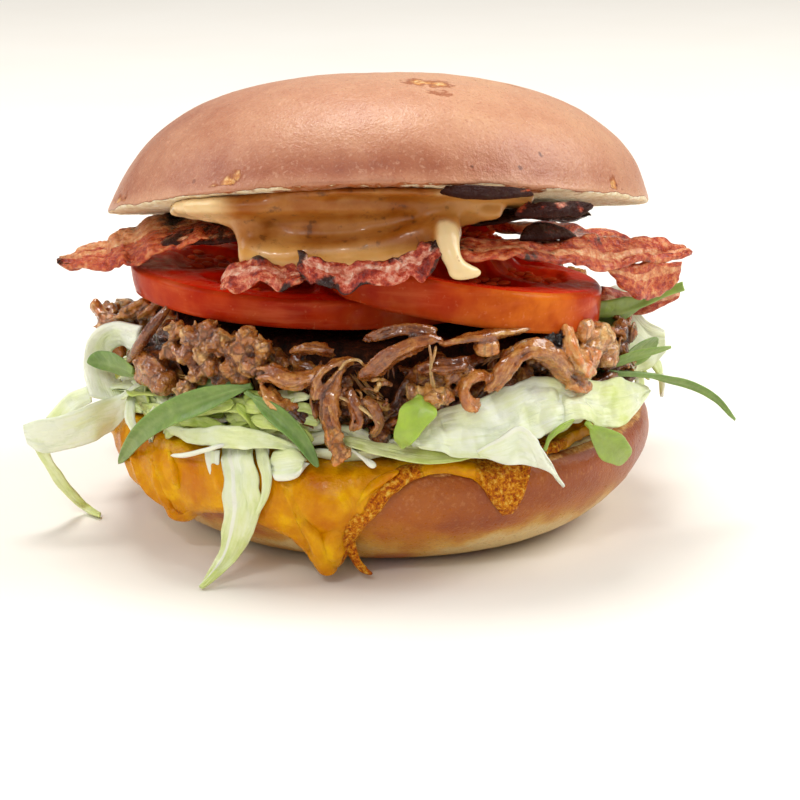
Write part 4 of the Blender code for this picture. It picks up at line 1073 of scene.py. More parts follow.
def build_slice(name, s, base, seed, node, lobes, turn):
    nt = 260
    th = np.linspace(0, TAU, nt, endpoint=False)
    edge_r = s["r"] * (1 + 0.012 * np.sin(3 * th + seed) + 0.010 * np.sin(lobes * (th - turn)) + 0.006 * np.sin(7 * th + 2 * seed))
    q_top = np.linspace(0.03, 0.985, 36)
    side = np.linspace(-1, 1, 13)[1:-1]
    q_low = np.linspace(0.985, 0.06, 6)
    rows = []
    gel_rows, skin_rows, pale_rows = [], [], []
    cx, cy = s["at"]

    def face(q, top):
        r = edge_r * q
        x, y = cx + r * np.cos(th), cy + r * np.sin(th)
        # seed chambers between the walls that run out from the core
        a = (th - turn) * lobes / 2
        spoke = np.abs(np.cos(a)) ** 0.8
        inner, outer = 0.26 + 0.05 * np.cos(a * 2 + seed), 0.80 + 0.03 * np.sin(3 * th)
        ring = sm((q - inner) / 0.09) * sm((outer - q) / 0.07)
        chamber = ring * sm((spoke - 0.30) / 0.22)
        P = np.stack([x, y, np.zeros_like(x) + (50.0 if top else 0.0)], -1)
        z = base(x, y) + (s["t"] if top else 0.0)
        relief = -1.3 * chamber + 0.35 * fbm(P, 4, 3, seed) + 0.5 * chamber * np.clip(fbm(P, 2.6, 2, seed + 5), 0, 1)
        z = z + (relief if top else -relief * 0.6) * sm((0.985 - q) / 0.05)
        rows.append(np.stack([x, y, z], -1))
        gel_rows.append(chamber)
        skin_rows.append(np.full(nt, sm((q - 0.962) / 0.015)))
        pale_rows.append(np.clip(sm((0.2 - q) / 0.1) * 0.8 + 0.35 * sm((q - 0.84) / 0.05) * sm((0.95 - q) / 0.03), 0, 1) * np.ones(nt))

    for q in q_top:
        face(q, True)
    for v in side[::-1]:
        h = s["t"] * (0.5 + 0.5 * v)
        bulge = (1 - np.abs(v) ** 3.4) ** 0.5
        r = edge_r * (0.988 + 0.014 * bulge + 0.012 * v)
        x, y = cx + r * np.cos(th), cy + r * np.sin(th)
        wob = 0.22 * noise(np.stack([x, y, np.full(nt, h)], -1), 9.0, seed + 3)
        rows.append(np.stack([x + wob * np.cos(th), y + wob * np.sin(th), base(x, y) + h], -1))
        gel_rows.append(np.zeros(nt))
        skin_rows.append(np.ones(nt))
        pale_rows.append(np.zeros(nt))
    for q in q_low:
        face(q, False)
    P = np.array(rows)
    nr = len(P)
    poles = np.array([[cx, cy, base(cx, cy) + s["t"]], [cx, cy, float(base(cx, cy))]])
    V = np.vstack([P.reshape(-1, 3), poles])
    quads, tris = ring_solid((nr, nt))
    bag = Bag()
    ap = lambda rows_: np.append(np.array(rows_).ravel(), [0.0, 0.0])
    deg = (np.degrees(np.arctan2(V[:, 1] - cy, V[:, 0] - cx)) + 180) % 360 - 180
    gold = (bell(deg, -62, 22) * 0.9 + bell(deg, 40, 30) * 0.5) if node.endswith("right") else bell(deg, 120, 25) * 0.4
    bag.add(V, quads, tris, skin=ap(skin_rows), gel=ap(gel_rows), pale=ap(pale_rows), golden=gold)
    # seeds in their gel
    rng = np.random.default_rng(seed)
    for k in range(lobes):
        mid = turn + k * TAU / lobes
        for _ in range(11):
            a, q = mid + rng.normal(0, 0.20), rng.uniform(0.40, 0.74)
            x, y = cx + s["r"] * q * math.cos(a), cy + s["r"] * q * math.sin(a)
            z = float(base(x, y)) + s["t"] - 0.9 + rng.uniform(0, 0.4)
            axes = basis([math.cos(a + rng.normal(0, 0.5)), math.sin(a + rng.normal(0, 0.5)), 0.1], rng, [0, 0, 1])
            V, q4, t3, _, _ = blob(np.array([x, y, z]), (1.25, 0.85, 0.40), axes, 9, 5, 0.05, 3, 0, k)
            bag.add(V, q4, t3, skin=0.0, gel=0.15, pale=1.0)
    return bag.make(name, TOMATO, "tomato", node)


build_slice("tomato_left", SLICE_L, slice_l_base, 2, "tomato_slice_left", 5, 0.5)
build_slice("tomato_right", SLICE_R, slice_r_base, 5, "tomato_slice_right", 5, 1.2)


# ---------------------------------------------------------------------------
# bacon
# ---------------------------------------------------------------------------
def rasher(name, node, first, second, seed, nu=120, nv=26, wave=0.8, thick=1.7, char=0.25, warm=0.0, fat=(0.25, 0.62), ends=0.25, ragged=0.9, lift=0.0, pink=0.0, crimps=0.3, grain_k=0.6, rim_char=0.30, marks=()):
    u = np.linspace(0, 1, nu)
    v = np.linspace(0, 1, nv)
    A, B = spline(first, u), spline(second, u)
    width = float(np.linalg.norm(A - B, axis=1).mean())
    length = float(np.linalg.norm(np.diff((A + B) / 2, axis=0), axis=1).sum())
    su, sv = u * length, v * width
    UU, VV = np.meshgrid(su, sv, indexing="ij")
    flat = np.stack([UU, VV, np.full_like(UU, seed * 31.0)], -1)
    # ragged sides and ends
    lo = ragged * 0.5 * fbm(np.stack([su, 0 * su, 0 * su + seed], -1), 4.0, 3, seed) / width
    hi = ragged * 0.5 * fbm(np.stack([su, 0 * su, 0 * su + seed + 50], -1), 4.0, 3, seed) / width
    vv = v[None] * (1 + hi[:, None] - lo[:, None]) + lo[:, None]
    P = A[:, None] * (1 - vv[..., None]) + B[:, None] * vv[..., None]
    T = unit(np.gradient(P, axis=0))
    cut = 1.4 * fbm(np.stack([0 * sv, sv, 0 * sv + seed], -1), 3.0, 2, seed + 9)
    P = P + T * (cut[None] * (np.abs(2 * u - 1) ** 8 * np.sign(u - 0.5))[:, None] * ends * 2.5)[..., None]
    N = normals(P)
    # long buckles, and finer crimping that grows towards both sides
    rim = np.abs(2 * v - 1)[None] ** 1.5
    buckle = wave * (0.55 * np.sin(UU * TAU / 15.0 + seed + 0.6 * np.sin(VV * 0.5)) + 1.0 * fbm(flat, 8, 3, seed))
    crimp = crimps * wave * rim * np.sin(UU * TAU / 6.2 + 2.1 * seed + 1.8 * (VV > width / 2) + 2.2 * noise(flat, 9, seed + 8))
    # fibres along the rasher, blisters and pits where the fat bubbled
    grain = 0.36 * fbm(flat * [0.35, 1, 1], 1.6, 3, seed + 4) + 0.34 * fbm(flat, 1.5, 3, seed + 6)
    blister = np.clip(noise(flat, 2.6, seed + 12) - 0.15, 0, 1) * 0.8
    grain = (grain + blister) * grain_k
    P = P + N * (buckle + crimp + lift)[..., None]
    th = thick * (0.80 + 0.45 * fbm(flat, 5, 2, seed + 2)) * np.sqrt(np.clip(1 - (np.abs(2 * v - 1) ** 5), 0.10, 1))[None]
    th = th * np.sqrt(np.clip(1 - np.abs(2 * u - 1) ** 24, 0.12, 1))[:, None]
    V, quads = solid_sheet(P, th)
    half = nu * nv
    n = normals(P).reshape(-1, 3)
    V[:half] += n * grain.reshape(-1, 1)
    V[half:] += n * grain[::1].reshape(-1, 1) * 0.6
    band = np.zeros_like(UU)
    for k, f in enumerate(fat):
        centre = f * width + 0.9 * noise(flat * [1, 0, 1], 9, seed + k)
        band = np.maximum(band, np.exp(-(((VV - centre) / (0.085 * width + 0.45)) ** 2)))
    edge = np.maximum(rim**3, np.abs(2 * u - 1)[:, None] ** 14)
    ch = char + rim_char * edge * (0.6 + 0.8 * noise(flat, 4, seed + 15)) - 0.25 * blister
    for a, b, reach, k in marks:
        ch = ch + k * np.exp(-(((u[:, None] - a) / reach) ** 2) - ((v[None] - b) / 0.4) ** 2)
    bag = Bag()
    bag.add(V, quads, None, fat=twice(band + 0 * UU), char=twice(ch + 0 * UU), warm=twice(warm + 0 * UU), pink=twice(pink + 0 * UU), su=twice(UU), sv=twice(VV))
    return bag.make(name, BACON_DARK if char > 0.6 else BACON, "bacon", *([node] if node else []))


def pts(*rows):
    return [at_y(px, py, y) for px, py, y in rows]


rasher(
    "rasher_left", "bacon_rasher_left",
    pts((60, 265, -15), (80, 268, -17), (101, 269, -19.5), (120, 267, -22), (134, 265, -24), (155, 255, -26), (173, 248, -27), (197, 242, -28), (216, 238, -27))
    + [np.array(p) for p in ((-25, -18, 58.0), (-15, -4, 56.2), (-6, 14, 52.6), (0, 34, 48.0), (3, 50, 45.6))],
    pts((60, 259, -12.5), (80, 251, -9), (100, 243, -6), (112, 236, -5), (127, 228, -4), (150, 218, -4), (178, 213, -3), (206, 211, -1))
    + [np.array(p) for p in ((-33, 3, 57.4), (-30, 10, 55.4), (-26, 20, 53.0), (-22, 32, 49.8), (-19, 42, 47.2), (-16, 51, 45.2))],
    3, 200, 28, wave=0.62, thick=2.0, char=0.06, warm=0.30, fat=(0.56, 0.72, 0.88), ragged=1.3, pink=0.05, crimps=0.16, grain_k=0.6,
    marks=((0.0, 0.5, 0.035, 0.5), (0.22, 1.0, 0.03, 0.5), (0.33, 1.0, 0.04, 0.6), (0.46, 0.95, 0.04, 0.8), (0.42, 0.55, 0.04, 0.4), (0.30, 0.0, 0.05, 0.4), (0.58, 0.5, 0.1, 0.6)),
)
rasher(
    "rasher_left_under", None,
    pts((150, 252, -24), (172, 246, -26.5), (196, 243, -28), (222, 243, -30), (250, 240, -31)),
    pts((152, 244, -20), (172, 236, -21), (196, 230, -22), (224, 228, -24), (252, 229, -26)),
    5, 90, 20, wave=0.4, thick=1.5, char=0.7, warm=0.0, fat=(0.35,), pink=0.4,
)
rasher(
    "rasher_right", "bacon_rasher_right",
    pts((446, 257, -44), (472, 256, -45.5), (505, 256, -45.5), (531, 257, -43.5), (560, 261, -39.5), (585, 265, -35), (608, 269, -29.5), (640, 263, -21.5), (668, 261, -15), (691, 257, -10.5)),
    pts((440, 246, -37), (464, 243, -36), (521, 241, -33), (548, 240, -30), (575, 238, -26), (613, 238, -18), (645, 239, -12), (674, 243, -8), (692, 251, -5.5)),
    7, 190, 30, wave=0.65, thick=2.2, char=0.24, warm=0.42, fat=(0.3,), ragged=1.3, pink=0.22, crimps=0.4, grain_k=0.6,
    marks=((0.05, 0.5, 0.1, 0.45), (0.35, 0.1, 0.1, 0.35), (0.55, 0.9, 0.06, 0.4)),
)
rasher(
    "rasher_right_fold", "bacon_rasher_right_fold",
    pts((607, 267, -27), (630, 264, -22), (655, 262, -17), (680, 262, -12.5)),
    pts((622, 286, -24.5), (638, 300, -20.5), (657, 296, -16), (676, 282, -12)),
    9, 80, 28, wave=0.5, thick=1.8, char=0.18, warm=0.55, fat=(0.35,), ragged=1.6, pink=0.15,
)
rasher(
    "bacon_tip", "bacon_tip_right",
    [(43.0, -8.0, 46.6), (50.0, -5.0, 44.4), (58.2, -3.0, 45.0)],
    [(42.0, -10.0, 42.8), (50.5, -8.0, 40.6), (58.0, -5.0, 43.2)],
    11, 60, 20, wave=0.4, thick=1.6, char=0.15, warm=0.1, fat=(0.6,), pink=0.3,
)
rasher(
    "rasher_under_crown", "bacon_rasher_under_crown",
    [(12, -38, 65.6), (20, -35.5, 65.8), (30, -30, 65.4), (39, -22.5, 63.6)],
    [(10, -24, 64.6), (19, -21, 64.4), (28, -16, 62.6), (37, -10, 60.4)],
    13, 90, 26, wave=0.5, thick=1.6, char=0.95, warm=0.0, fat=(0.7,),
)
rasher(
    "bacon_curl", "bacon_curl_right",
    pts((517, 241, -37.5), (535, 240, -36), (556, 240, -33), (578, 241, -28)),
    pts((521, 233, -34), (533, 223, -32), (553, 226, -29), (575, 236, -25)),
    15, 80, 24, wave=0.4, thick=2.0, char=0.86, warm=0.0, fat=(), ragged=1.0, grain_k=0.3,
)
rasher(
    "bacon_chunk_left", "bacon_front_left",
    pts((219, 281, -46), (234, 288, -47.4), (261, 293, -49), (284, 291, -50), (304, 277, -49.4)),
    pts((220, 276, -44), (246, 260, -43), (268, 262, -44), (290, 264, -45.6), (305, 269, -47)),
    17, 130, 40, wave=1.25, thick=1.9, char=0.06, warm=0.45, fat=(0.55,), ragged=4.0, pink=0.8, crimps=0.7, grain_k=0.9, rim_char=0.5,
    marks=((0.42, 0.95, 0.1, 0.5), (0.8, 0.2, 0.08, 0.5), (1.0, 0.5, 0.06, 0.4)),
)
rasher(
    "bacon_chunk_middle", "bacon_front_middle",
    pts((299, 274, -50), (318, 285, -51.4), (342, 288, -52), (372, 280, -52), (402, 279, -52), (424, 273, -51.4), (441, 256, -50)),
    pts((297, 256, -47), (318, 261, -48), (345, 265, -49), (372, 261, -49), (398, 256, -49), (420, 246, -48.4), (439, 238, -48)),
    19, 190, 32, wave=1.0, thick=1.8, char=0.22, warm=0.15, fat=(0.6,), ragged=4.0, pink=0.8, crimps=0.8, grain_k=0.9, rim_char=0.5,
    marks=((0.0, 0.8, 0.06, 0.5), (0.25, 0.1, 0.07, 0.6), (0.97, 0.9, 0.06, 1.0), (0.7, 1.0, 0.08, 0.4)),
)
rasher(
    "bacon_end", "bacon_end_crown",
    pts((518, 218, -43), (540, 215, -43), (560, 217, -42), (580, 217, -40), (591, 210, -38)),
    pts((522, 204, -40), (540, 201, -40), (560, 202, -39), (580, 203, -37), (592, 204, -36)),
    21, 90, 26, wave=0.6, thick=2.0, char=0.80, warm=0.0, fat=(), ragged=1.8, pink=0.5, crimps=0.6,
)
rasher(
    "bacon_slab_dark", None,
    pts((441, 192, -48.6), (460, 199, -49), (490, 200, -49), (512, 198, -48), (533, 195, -46)),
    pts((444, 187, -47.6), (462, 186, -47.6), (490, 186, -47.6), (510, 187, -46.6), (531, 190, -44.6)),
    23, 80, 24, wave=0.15, thick=1.6, char=1.25, warm=0.6, fat=(), ragged=0.5, crimps=0.05, grain_k=0.2, marks=((1.0, 0.5, 0.28, -0.8),),
)
rasher(
    "rasher_back", "bacon_rasher_back",
    [(14, 12, 54.6), (18, 24, 51.6), (24, 36, 48.2), (31, 46, 45.2), (37, 54, 43.4)],
    [(33, 4, 54.6), (35, 16, 52.0), (40, 27, 49.2), (46, 36, 46.4), (52, 43, 44.0)],
    25, 110, 22, wave=0.7, thick=1.9, char=0.22, warm=0.3, fat=(0.3, 0.7),
)


# ---------------------------------------------------------------------------
# leaves
# ---------------------------------------------------------------------------
def leafy(bag, first, second, seed, nu=60, nv=16, ruffle=0.5, thick=0.45, tint=0.4, rib=None, wavelength=9.0, round_ends=(0.0, 0.0), ragged=0.0, tint_to=None, crease=0.0):
    """A lettuce ribbon or leaf between two edges."""
    u, v = np.linspace(0, 1, nu), np.linspace(0, 1, nv)
    A, B = spline(first, u), spline(second, u)
    mid, half = (A + B) / 2, (B - A) / 2
    k = np.ones(nu)
    if round_ends[0]:
        k = k * np.sqrt(np.clip(1 - (1 - np.clip(u / round_ends[0], 0, 1)) ** 2, 0.003, 1))
    if round_ends[1]:
        k = k * np.sqrt(np.clip(1 - (1 - np.clip((1 - u) / round_ends[1], 0, 1)) ** 2, 0.003, 1))
    length = float(np.linalg.norm(np.diff(mid, axis=0), axis=1).sum())
    width = float(2 * np.linalg.norm(half, axis=1).mean())
    UU, VV = np.meshgrid(u * length, v * width, indexing="ij")
    flat = np.stack([UU, VV, np.full_like(UU, seed * 17.0)], -1)
    s = (2 * v - 1)[None] * k[:, None]
    if ragged:
        s = s * (1 + ragged * fbm(np.stack([u * length, 0 * u, 0 * u + seed], -1), 5.0, 3, seed)[:, None] * np.abs(s))
    P = mid[:, None] + half[:, None] * s[..., None]
    N = normals(P)
    d = ruffle * (fbm(flat, wavelength, 3, seed) * 1.3 + 0.5 * np.abs(2 * v - 1)[None] * np.sin(UU * TAU / (wavelength * 0.8) + seed))
    if crease:
        # sharp folds between smooth facets, as in a crisp leaf
        d = d + crease * (0.5 - np.abs(noise(flat * [0.8, 1, 1], 7.5, seed + 21)) * 1.6) + 0.4 * crease * (0.5 - np.abs(noise(flat, 3.4, seed + 22)) * 1.5)
    P = P + N * d[..., None]
    th = thick * (1.0 + 0.3 * noise(flat, 5, seed)) * np.sqrt(np.clip(1 - np.abs(2 * v - 1) ** 6, 0.15, 1))[None]
    ribv = np.zeros_like(UU)
    if rib is not None:
        centre, w, swell = rib
        ribv = np.exp(-(((v[None] - centre) / w) ** 2)) * np.ones((nu, 1))
        th = th + swell * ribv
    tt = tint + ((tint_to - tint) * u[:, None] if tint_to is not None else 0.0) + 0.12 * fbm(flat, 8, 2, seed + 3)
    V, quads = solid_sheet(P, th)
    bag.add(V, quads, None, rib=twice(ribv), tint=twice(tt + 0 * UU), lu=twice(UU), lv=twice(VV))


def rocket_leaf(name, node, spine, across, width, seed, blade=(0.35, 1.0), lobes=0.0, stem=0.9, tint=0.45, tip_round=0.35, cup=0.8, thick=0.42, nu=80, nv=18, vein=1.0, tint_to=None, bag=None):
    """A rocket leaf: stem, then a blade that may be lobed."""
    own = bag is None
    bag = bag or Bag()
    u, v = np.linspace(0, 1, nu), np.linspace(0, 1, nv)
    C = spline(spine, u)
    D = unit(spline(across, u)) if len(across) > 1 else np.repeat(unit(np.array(across[0], float))[None], nu, 0)
    length = float(np.linalg.norm(np.diff(C, axis=0), axis=1).sum())
    b = (u - blade[0]) / (blade[1] - blade[0])
    body = np.sqrt(np.clip(np.clip(b / 0.45, 0, 1), 0, 1)) * np.sqrt(np.clip((1 - b) / tip_round, 0.0, 1))
    body = np.where(b > 0, sm(np.clip(b / 0.5, 0, 1)) ** 0.7 * np.sqrt(np.clip(1 - (1 - np.clip((1 - b) / tip_round, 0, 1)) ** 2, 0, 1)), 0)
    body = body * (1 + lobes * np.sin(b * TAU * 2.5 + seed))
    w = np.maximum(stem * (0.35 + 0.65 * sm((1 - u) / 0.08)), body * width)
    s = 2 * v - 1
    UU = (u * length)[:, None] + 0 * s
    flat = np.stack([UU, s[None] * w[:, None] / 2, np.full_like(UU, seed * 11.0)], -1)
    T = unit(np.gradient(C, axis=0))
    N = unit(np.cross(T, D))
    wn = (w / width)[:, None]
    P = C[:, None] + D[:, None] * (s[None] * w[:, None] / 2)[..., None]
    dz = cup * (s[None] ** 2) * wn + 0.35 * wn * fbm(flat, 4.0, 2, seed)
    P = P + N[:, None] * dz[..., None]
    mid = np.exp(-((s[None] * w[:, None] / 2 / 0.45) ** 2))
    side = (0.5 + 0.5 * np.cos((UU - np.abs(s[None]) * w[:, None] * 0.5) * TAU / 3.2)) ** 10 * sm(wn * 2 - 0.5) * 0.5
    th = thick + (stem * 0.75) * mid * (1 - 0.75 * sm(b))[:, None]
    th = th * np.sqrt(np.clip(1 - np.abs(s[None]) ** 6, 0.15, 1))
    V, quads = solid_sheet(P, th)
    tt = tint + ((tint_to - tint) * u[:, None] if tint_to is not None else 0.0) + 0.10 * fbm(flat, 6, 2, seed) + 0 * UU
    bag.add(V, quads, None, vein=twice(np.clip(mid + side, 0, 1) * vein), tint=twice(tt))
    if own:
        return bag.make(name, ROCKET, "rocket", *([node] if node else []))
    return None


def W(*rows):
    """Points by pixel and radius about the axis; a negative third value is a depth y."""
    return [wall(px, py, r) if r > 0 else at_y(px, py, r) for px, py, r in rows]


def on_table(px, py, z=0.5):
    d = ray(px, py)
    return EYE + d * (z - EYE[2]) / d[2]


# the looped shred at the left, with its tail on the table
loop = Bag()
leafy(
    loop,
    pts((140, 326, -24), (118, 322, -17), (98, 328, -12), (86, 345, -10), (84, 372, -12), (90, 396, -16)),
    pts((133, 352, -22), (122, 346, -16), (112, 352, -10), (112, 368, -9), (120, 386, -12), (131, 404, -16)),
    31, 60, 16, ruffle=0.45, thick=0.6, tint=0.06, wavelength=10, rib=(0.1, 0.25, 0.4), crease=0.3,
)
leafy(
    loop,
    pts((134, 384, -18), (116, 396, -17), (92, 404, -20), (62, 416, -21), (38, 419, -20), (24, 424, -19)),
    pts((128, 424, -16), (112, 432, -16), (92, 442, -19), (66, 450, -20), (44, 452, -20), (28, 444, -19)),
    32, 60, 18, ruffle=0.5, thick=0.6, tint=0.02, wavelength=11, crease=0.3,
)
leafy(
    loop,
    pts((24, 426, -19), (34, 446, -18.6), (46, 468, -17.5), (60, 490, -15.5)) + [on_table(80, 508, 1.6), on_table(100, 518, 0.5)],
    pts((44, 440, -19.4), (52, 458, -19), (62, 474, -17.5), (74, 490, -15)) + [on_table(88, 504, 1.8), on_table(101, 514, 0.6)],
    33, 60, 12, ruffle=0.3, thick=0.65, tint=0.2, wavelength=9, tint_to=0.45,
)
leafy(
    loop,
    pts((88, 386, -13), (72, 392, -13), (58, 404, -14), (46, 418, -16)),
    pts((92, 402, -15), (80, 408, -15), (68, 418, -16), (60, 428, -17)),
    34, 36, 12, ruffle=0.5, thick=0.6, tint=0.15, wavelength=7,
)
loop.make("lettuce_loop_left", LETTUCE, "lettuce", "lettuce_shred_left")

# the long shred down the front
front = Bag()
leafy(
    front,
    W((220, 440, 51.5), (221, 461, 54.4), (222, 486, 56.4), (224, 512, 57.2), (221, 538, 57.6)) + [on_table(214, 561, 4.4), on_table(199, 587, 0.5)],
    W((250, 440, 51.8), (256, 461, 54.6), (260, 486, 56.2), (260, 508, 56.8), (251, 538, 57.2)) + [on_table(236, 561, 4.6), on_table(202, 588.5, 0.5)],
    41, 110, 22, ruffle=0.55, thick=0.5, tint=0.16, wavelength=9, tint_to=0.40, rib=(0.30, 0.08, 0.12), ragged=0.14, crease=0.35,
)
leafy(
    front,
    W((255, 446, 52.6), (258, 462, 54.4), (262, 478, 56.0), (262, 494, 57.0), (256, 512, 57.4)),
    W((266, 444, 52.6), (270, 460, 54.4), (272, 478, 56.0), (269, 496, 57.0), (258, 516, 57.4)),
    42, 50, 12, ruffle=0.3, thick=0.65, tint=0.2, wavelength=8,
)
leafy(
    front,
    W((166, 426, 54.0), (190, 428, 54.8), (222, 426, 55.2), (258, 430, 55.0), (300, 446, 54.2)),
    W((170, 434, 54.2), (192, 444, 55.2), (226, 448, 55.8), (262, 449, 55.6), (300, 450, 54.6)),
    43, 70, 14, ruffle=0.6, thick=0.5, tint=0.24, wavelength=9, ragged=0.2, crease=0.3,
)
leafy(
    front,
    W((269, 452, 53.6), (278, 450, 54.4), (292, 448, 54.8), (304, 452, 54.4)),
    W((272, 478, 55.2), (281, 481, 55.8), (294, 479, 55.8), (306, 472, 55.2)),
    44, 36, 18, ruffle=0.35, thick=0.9, tint=0.2, wavelength=7, rib=(0.92, 0.16, 1.3), round_ends=(0.2, 0.25),
)
leafy(
    front,
    W((206, 452, 54.0), (207, 464, 54.8), (210, 475, 55.0), (216, 480, 54.8)),
    W((220, 450, 54.0), (219, 462, 54.6), (219, 470, 54.8), (219, 478, 54.8)),
    45, 26, 10, ruffle=0.3, thick=0.6, tint=0.15, wavelength=6, rib=(0.2, 0.3, 0.5),
)
for path, r in (
    (W((171, 455.5, 55.6), (186, 455, 56.0), (206, 450, 56.2), (228, 444, 55.2), (258, 441, 53.6)), [0.55, 0.62, 0.55, 0.5, 0.4]),
    (W((348, 447, 52.0), (356, 453, 53.4), (364, 459, 54.2), (371, 464, 54.6), (376, 466.5, 54.6)), [0.35, 0.38, 0.5, 0.85, 0.7]),
    (W((268, 448, 53.0), (266, 462, 54.4), (268, 474, 55.2)), [0.4, 0.45, 0.3]),
):
    V, q, t, fu, fv = tube(path, r, 24, 10, flat=0.8)
    front.add(V, q, t, rib=1.0, tint=0.0)
front.make("lettuce_shred_long", LETTUCE, "lettuce", "lettuce_shred_front")

# the big leaf at the right
big = Bag()
leafy(
    big,
    W((407, 433, 54.6), (428, 418, 53.6), (446, 407, 52.4), (474, 400, 51.4), (501, 391, 50.8), (526, 378, 50.6), (548, 378, 50.8), (576, 384, 51.4)),
    W((416, 447, 55.6), (436, 452, 56.0), (459, 458, 56.4), (486, 459, 56.6), (512, 454, 56.6), (534, 441, 56.2), (552, 430, 55.6), (578, 420, 55.0)),
    51, 120, 40, ruffle=1.1, thick=0.5, tint=0.10, wavelength=11, ragged=0.14, round_ends=(0.05, 0.0), crease=0.9,
)
leafy(
    big,
    W((545, 378, 50.2), (566, 380, 50.8), (594, 381, 51.6), (622, 380, 52.6), (649, 384, 53.6)),
    W((548, 432, 54.6), (576, 420, 55.6), (600, 426, 56.6), (622, 425, 57.0), (647, 402, 55.4)),
    52, 70, 30, ruffle=0.7, thick=0.5, tint=0.24, wavelength=12, ragged=0.10, round_ends=(0.0, 0.12), crease=0.8,
)
leafy(
    big,
    W((344, 436, 51.5), (374, 440, 52.2), (404, 446, 52.8), (436, 450, 53.4), (470, 452, 54.0)),
    W((346, 447, 53.0), (372, 453, 54.2), (402, 459, 55.2), (428, 464, 55.6), (470, 459, 55.6)),
    53, 60, 16, ruffle=0.5, thick=0.5, tint=0.32, wavelength=9, tint_to=0.6, ragged=0.15, crease=0.5,
)
big.make("lettuce_leaf_big", LETTUCE, "lettuce", "lettuce_leaf_right")

fold = Bag()
leafy(
    fold,
    W((476, 451, 57.4), (496, 440, 58.0), (519, 427, 58.4), (534, 436, 58.6), (545, 455, 58.2), (563.5, 485, 56.6)),
    W((480, 456, 57.6), (502, 464, 58.4), (524, 465, 58.6), (538, 468, 58.4), (548, 472, 57.8), (564.5, 487, 56.6)),
    55, 90, 26, ruffle=0.55, thick=0.5, tint=0.02, wavelength=8, rib=(0.05, 0.10, 0.3), crease=0.5,
)
fold.make("lettuce_fold", LETTUCE, "lettuce", "lettuce_leaf_fold")

# pale leaf standing at the far right, behind the meat
tall = Bag()
leafy(
    tall,
    pts((598, 300, -8), (612, 286, -6), (628, 290, -5), (646, 318, -5), (664, 330, -4)),
    pts((600, 372, -14), (616, 374, -12), (634, 372, -10), (650, 368, -8), (666, 352, -6)),
    57, 50, 24, ruffle=0.8, thick=0.5, tint=0.12, wavelength=10, ragged=0.12, crease=0.8,
)
tall.make("lettuce_tall_right", LETTUCE, "lettuce")

back = Bag()
leafy(
    back,
    [(34, 42.5, 36.0), (24, 49.5, 38.0), (12, 53.2, 36.5), (0, 54.2, 37.0), (-13, 53.0, 35.0), (-25, 48.5, 35.5), (-35, 41.5, 33.0)],
    [(38, 46.0, 25.0), (26, 54.4, 22.0), (13, 58.2, 20.6), (0, 59.4, 23.0), (-14, 58.0, 20.5), (-27, 53.0, 22.5), (-38, 45.5, 25.5)],
    59, 120, 30, ruffle=1.2, thick=0.5, tint=0.28, wavelength=12, ragged=0.24, round_ends=(0.06, 0.06), crease=1.2,
)
back.make("lettuce_leaf_rear", LETTUCE, "lettuce", "lettuce_leaf_back")


